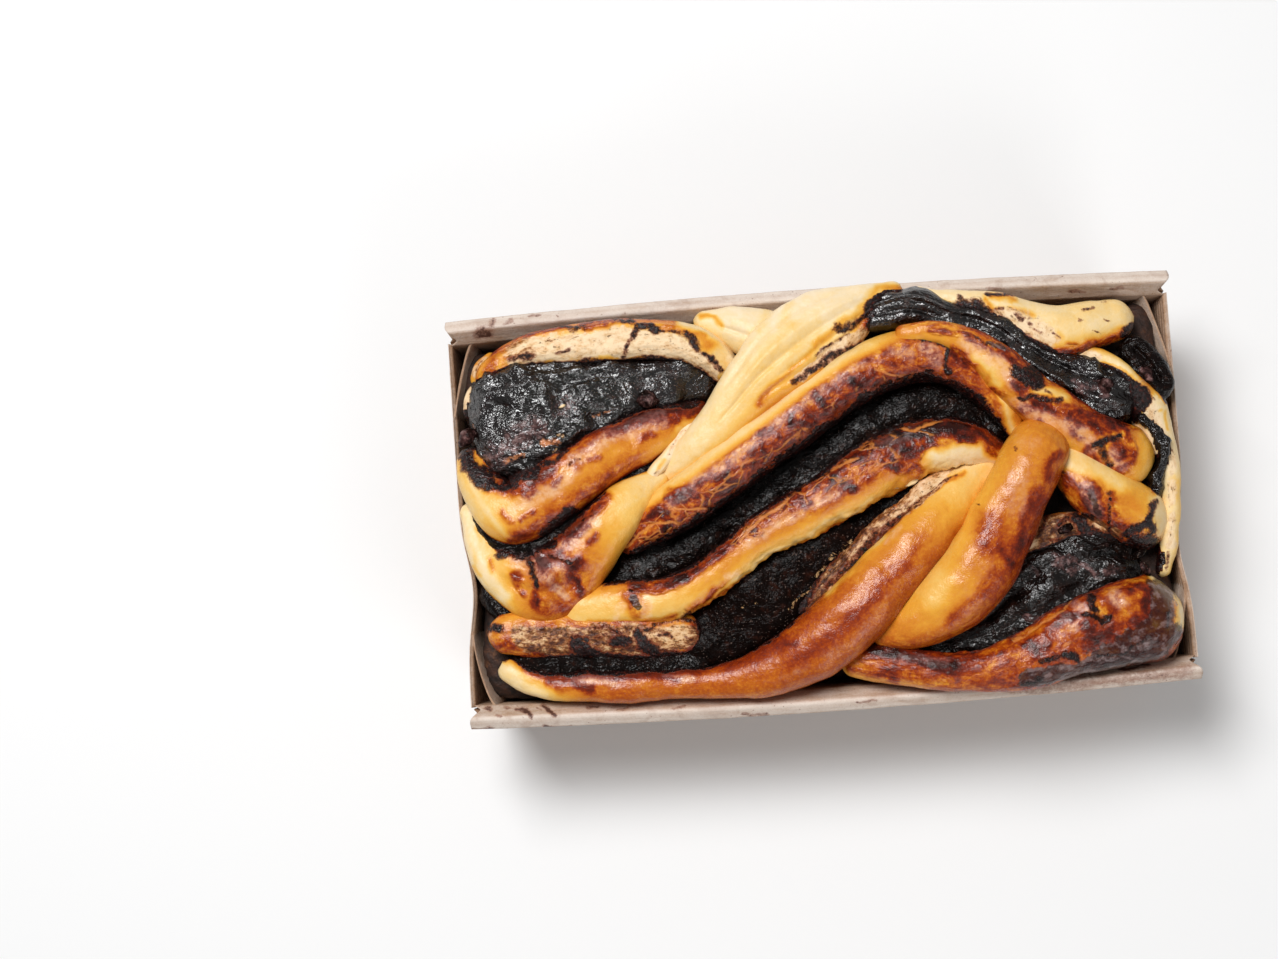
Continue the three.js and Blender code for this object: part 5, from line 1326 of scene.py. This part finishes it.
def paper_finish():
    """Kraft board: its tone, which holds painted light and shade as well as the paper's own colour, is
    looked up in a row of paper colours. Fibres, creases along it and grease mottle it, its flutes show
    as darker lines, and chocolate has run and been smeared on it."""
    paint = Paint("kraft board", Specular_IOR_Level=0.3)
    fibres = paint.noise(0.6, 4, 0.7) - 0.5
    drawn = paint.noise(1.3, 4, 0.65, at=paint.stretched(paint.place(), (0.12, 0.9, 0.9))) - 0.5
    mottle = paint.noise(5, 4, 0.65) - 0.5
    tone = paint.mark("tone") + fibres * 0.4 + drawn * 0.35 + mottle * 0.3
    line = paint.node("ShaderNodeMath", {"operation": "SINE"}, paint.mark("flute") * (2 * np.pi))
    colour = paint.ramp(tone - (line * 0.12 + 0.04) * (1 - paint.mark("tone").step(0.5, 0.6)), KRAFT)
    grease = paint.noise(9, 4, 0.6, warp=0.6).step(0.52, 0.66)
    colour = paint.mix(grease * 0.22, colour, GREASE)
    speck = (paint.noise(1.1, 2, 0.5) + mottle * 0.25).step(0.69, 0.74)
    colour = paint.mix(speck * 0.6, colour, SPECKS)
    stain = paint.mark("stain") + fibres * 0.7 + (paint.noise(1.6, 4, 0.7) - 0.5) * 0.9
    colour = paint.mix(stain.step(0.2, 0.5) * 0.55, colour, THIN_STAIN)
    colour = paint.mix(stain.step(0.5, 0.75) * 0.85, colour, THICK_STAIN)
    skin = paint.bump(drawn, 0.25, paint.bump(fibres, 0.12))
    paint.to(Base_Color=colour, Normal=skin, Roughness=0.85 - stain.step(0.5, 0.75) * 0.3)
    return paint.material


def crumb_finish():
    """The loaf under the strands: dark crumb soaked with chocolate."""
    paint = Paint("soaked crumb", Roughness=0.7)
    colour = paint.ramp(paint.noise(4, 4, 0.6), SOAKED_CRUMB)
    paint.to(Base_Color=colour, Normal=paint.bump(paint.noise(1.2, 3), 0.5))
    return paint.material


def dress(piece, material, slot, *nodes):
    """Gives a finished piece its finish and its body, and hides the nodes that it stands for.
    slot is not used.
    """
    piece.data.materials.append(material)
    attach(piece, "root")
    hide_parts(*nodes)


# ---- Camera, floor and light --------------------------------------------------------------

LENS_FOCAL_PX = 2600  # focal length in pixels of a picture 1278 wide
PICTURE_WIDE = 1278
SENSOR_MM = 36
CAMERA_AT = (-44.68, -56.00, 900.53)
CAMERA_RIGHT = (0.99734358, -0.06958851, -0.02152237)
CAMERA_UP = (0.07105847, 0.99446194, 0.07743477)
CAMERA_BACK = (0.01601461, -0.07875842, 0.99676509)
WORLD_LIGHT = 0.23
FLOOR_REACH = 6.0  # in metres, as are the lamps' places


def set_camera():
    """The view of the photograph: almost straight down, a little from the front and the left."""
    camera = bpy.data.cameras.new("camera")
    camera.sensor_width = SENSOR_MM
    camera.lens = SENSOR_MM * LENS_FOCAL_PX / PICTURE_WIDE
    camera.clip_start, camera.clip_end = 0.05, 20
    holder = bpy.data.objects.new("camera", camera)
    axes = Matrix((CAMERA_RIGHT, CAMERA_UP, CAMERA_BACK)).transposed().to_4x4()
    axes.translation = [v * MM for v in CAMERA_AT]
    holder.matrix_world = axes
    bpy.context.scene.collection.objects.link(holder)
    bpy.context.scene.camera = holder


def soft_light(name, at, aim, size, power):
    """A square lamp that faces a point, sized and placed in metres."""
    lamp = bpy.data.lights.new(name, "AREA")
    lamp.size, lamp.energy = size, power
    holder = bpy.data.objects.new(name, lamp)
    holder.location = at
    holder.rotation_euler = Vector(np.subtract(at, aim)).to_track_quat("Z", "Y").to_euler()
    bpy.context.scene.collection.objects.link(holder)


def set_light():
    """A soft window behind on the left, a weaker one low in front on the right, and a white world."""
    world = bpy.data.worlds.new("studio")
    world.use_nodes = True
    background = world.node_tree.nodes["Background"]
    background.inputs["Color"].default_value = (1, 1, 1, 1)
    background.inputs["Strength"].default_value = WORLD_LIGHT
    bpy.context.scene.world = world
    soft_light("window", at=(-0.36, 0.44, 1.2), aim=(0, 0, 0.05), size=0.5, power=15.4)
    soft_light("bounce", at=(0.42, -0.8, 0.62), aim=(0.03, -0.03, 0.05), size=0.5, power=2.6)


def set_floor():
    """A pale square that the case stands on."""
    corners = [(x * FLOOR_REACH, y * FLOOR_REACH, 0) for x, y in ((-1, -1), (1, -1), (1, 1), (-1, 1))]
    mesh = bpy.data.meshes.new("floor")
    mesh.from_pydata(corners, [], [(0, 1, 2, 3)])
    floor = bpy.data.objects.new("floor", mesh)
    bpy.context.scene.collection.objects.link(floor)
    paint = Paint("pale floor", Roughness=0.9)
    paint.to(Base_Color=PALE_FLOOR)
    mesh.materials.append(paint.material)


# ---- Making -------------------------------------------------------------------------------

set_camera()
set_light()
set_floor()
bpy.context.scene.view_settings.view_transform = "Standard"

crust, paper, crumb = crust_finish(), paper_finish(), crumb_finish()
chocolates = {tag: chocolate_finish(tag) for tag in SHINES}
for name, spec in STRANDS.items():
    dress(strand(name, spec), crust, "bread", "bread")
for name, spec in BITS.items():
    dress(bit(name, spec), crust if spec[BIT_BAKE] < BURNT else chocolates["dry"], "bread", "bread")
dress(loaf_body("loaf_body"), crumb, "bread", "bread")
for name, spec in FILLINGS.items():
    dress(ribbon(name, spec), chocolates[spec["shine"]], "filling", name)
walls = [long_wall("long_wall_back", 1), long_wall("long_wall_front", -1),
         end_wall("end_wall_right", 1), end_wall("end_wall_left", -1), case_base("case_base")]
for sx, sy in ((1, 1), (-1, 1), (-1, -1), (1, -1)):
    corner = ("back" if sy > 0 else "front") + ("_right" if sx > 0 else "_left")
    walls.append(gusset("gusset_" + corner, sx, sy))
for piece in walls:
    dress(piece, paper, "paper", "paper_case")
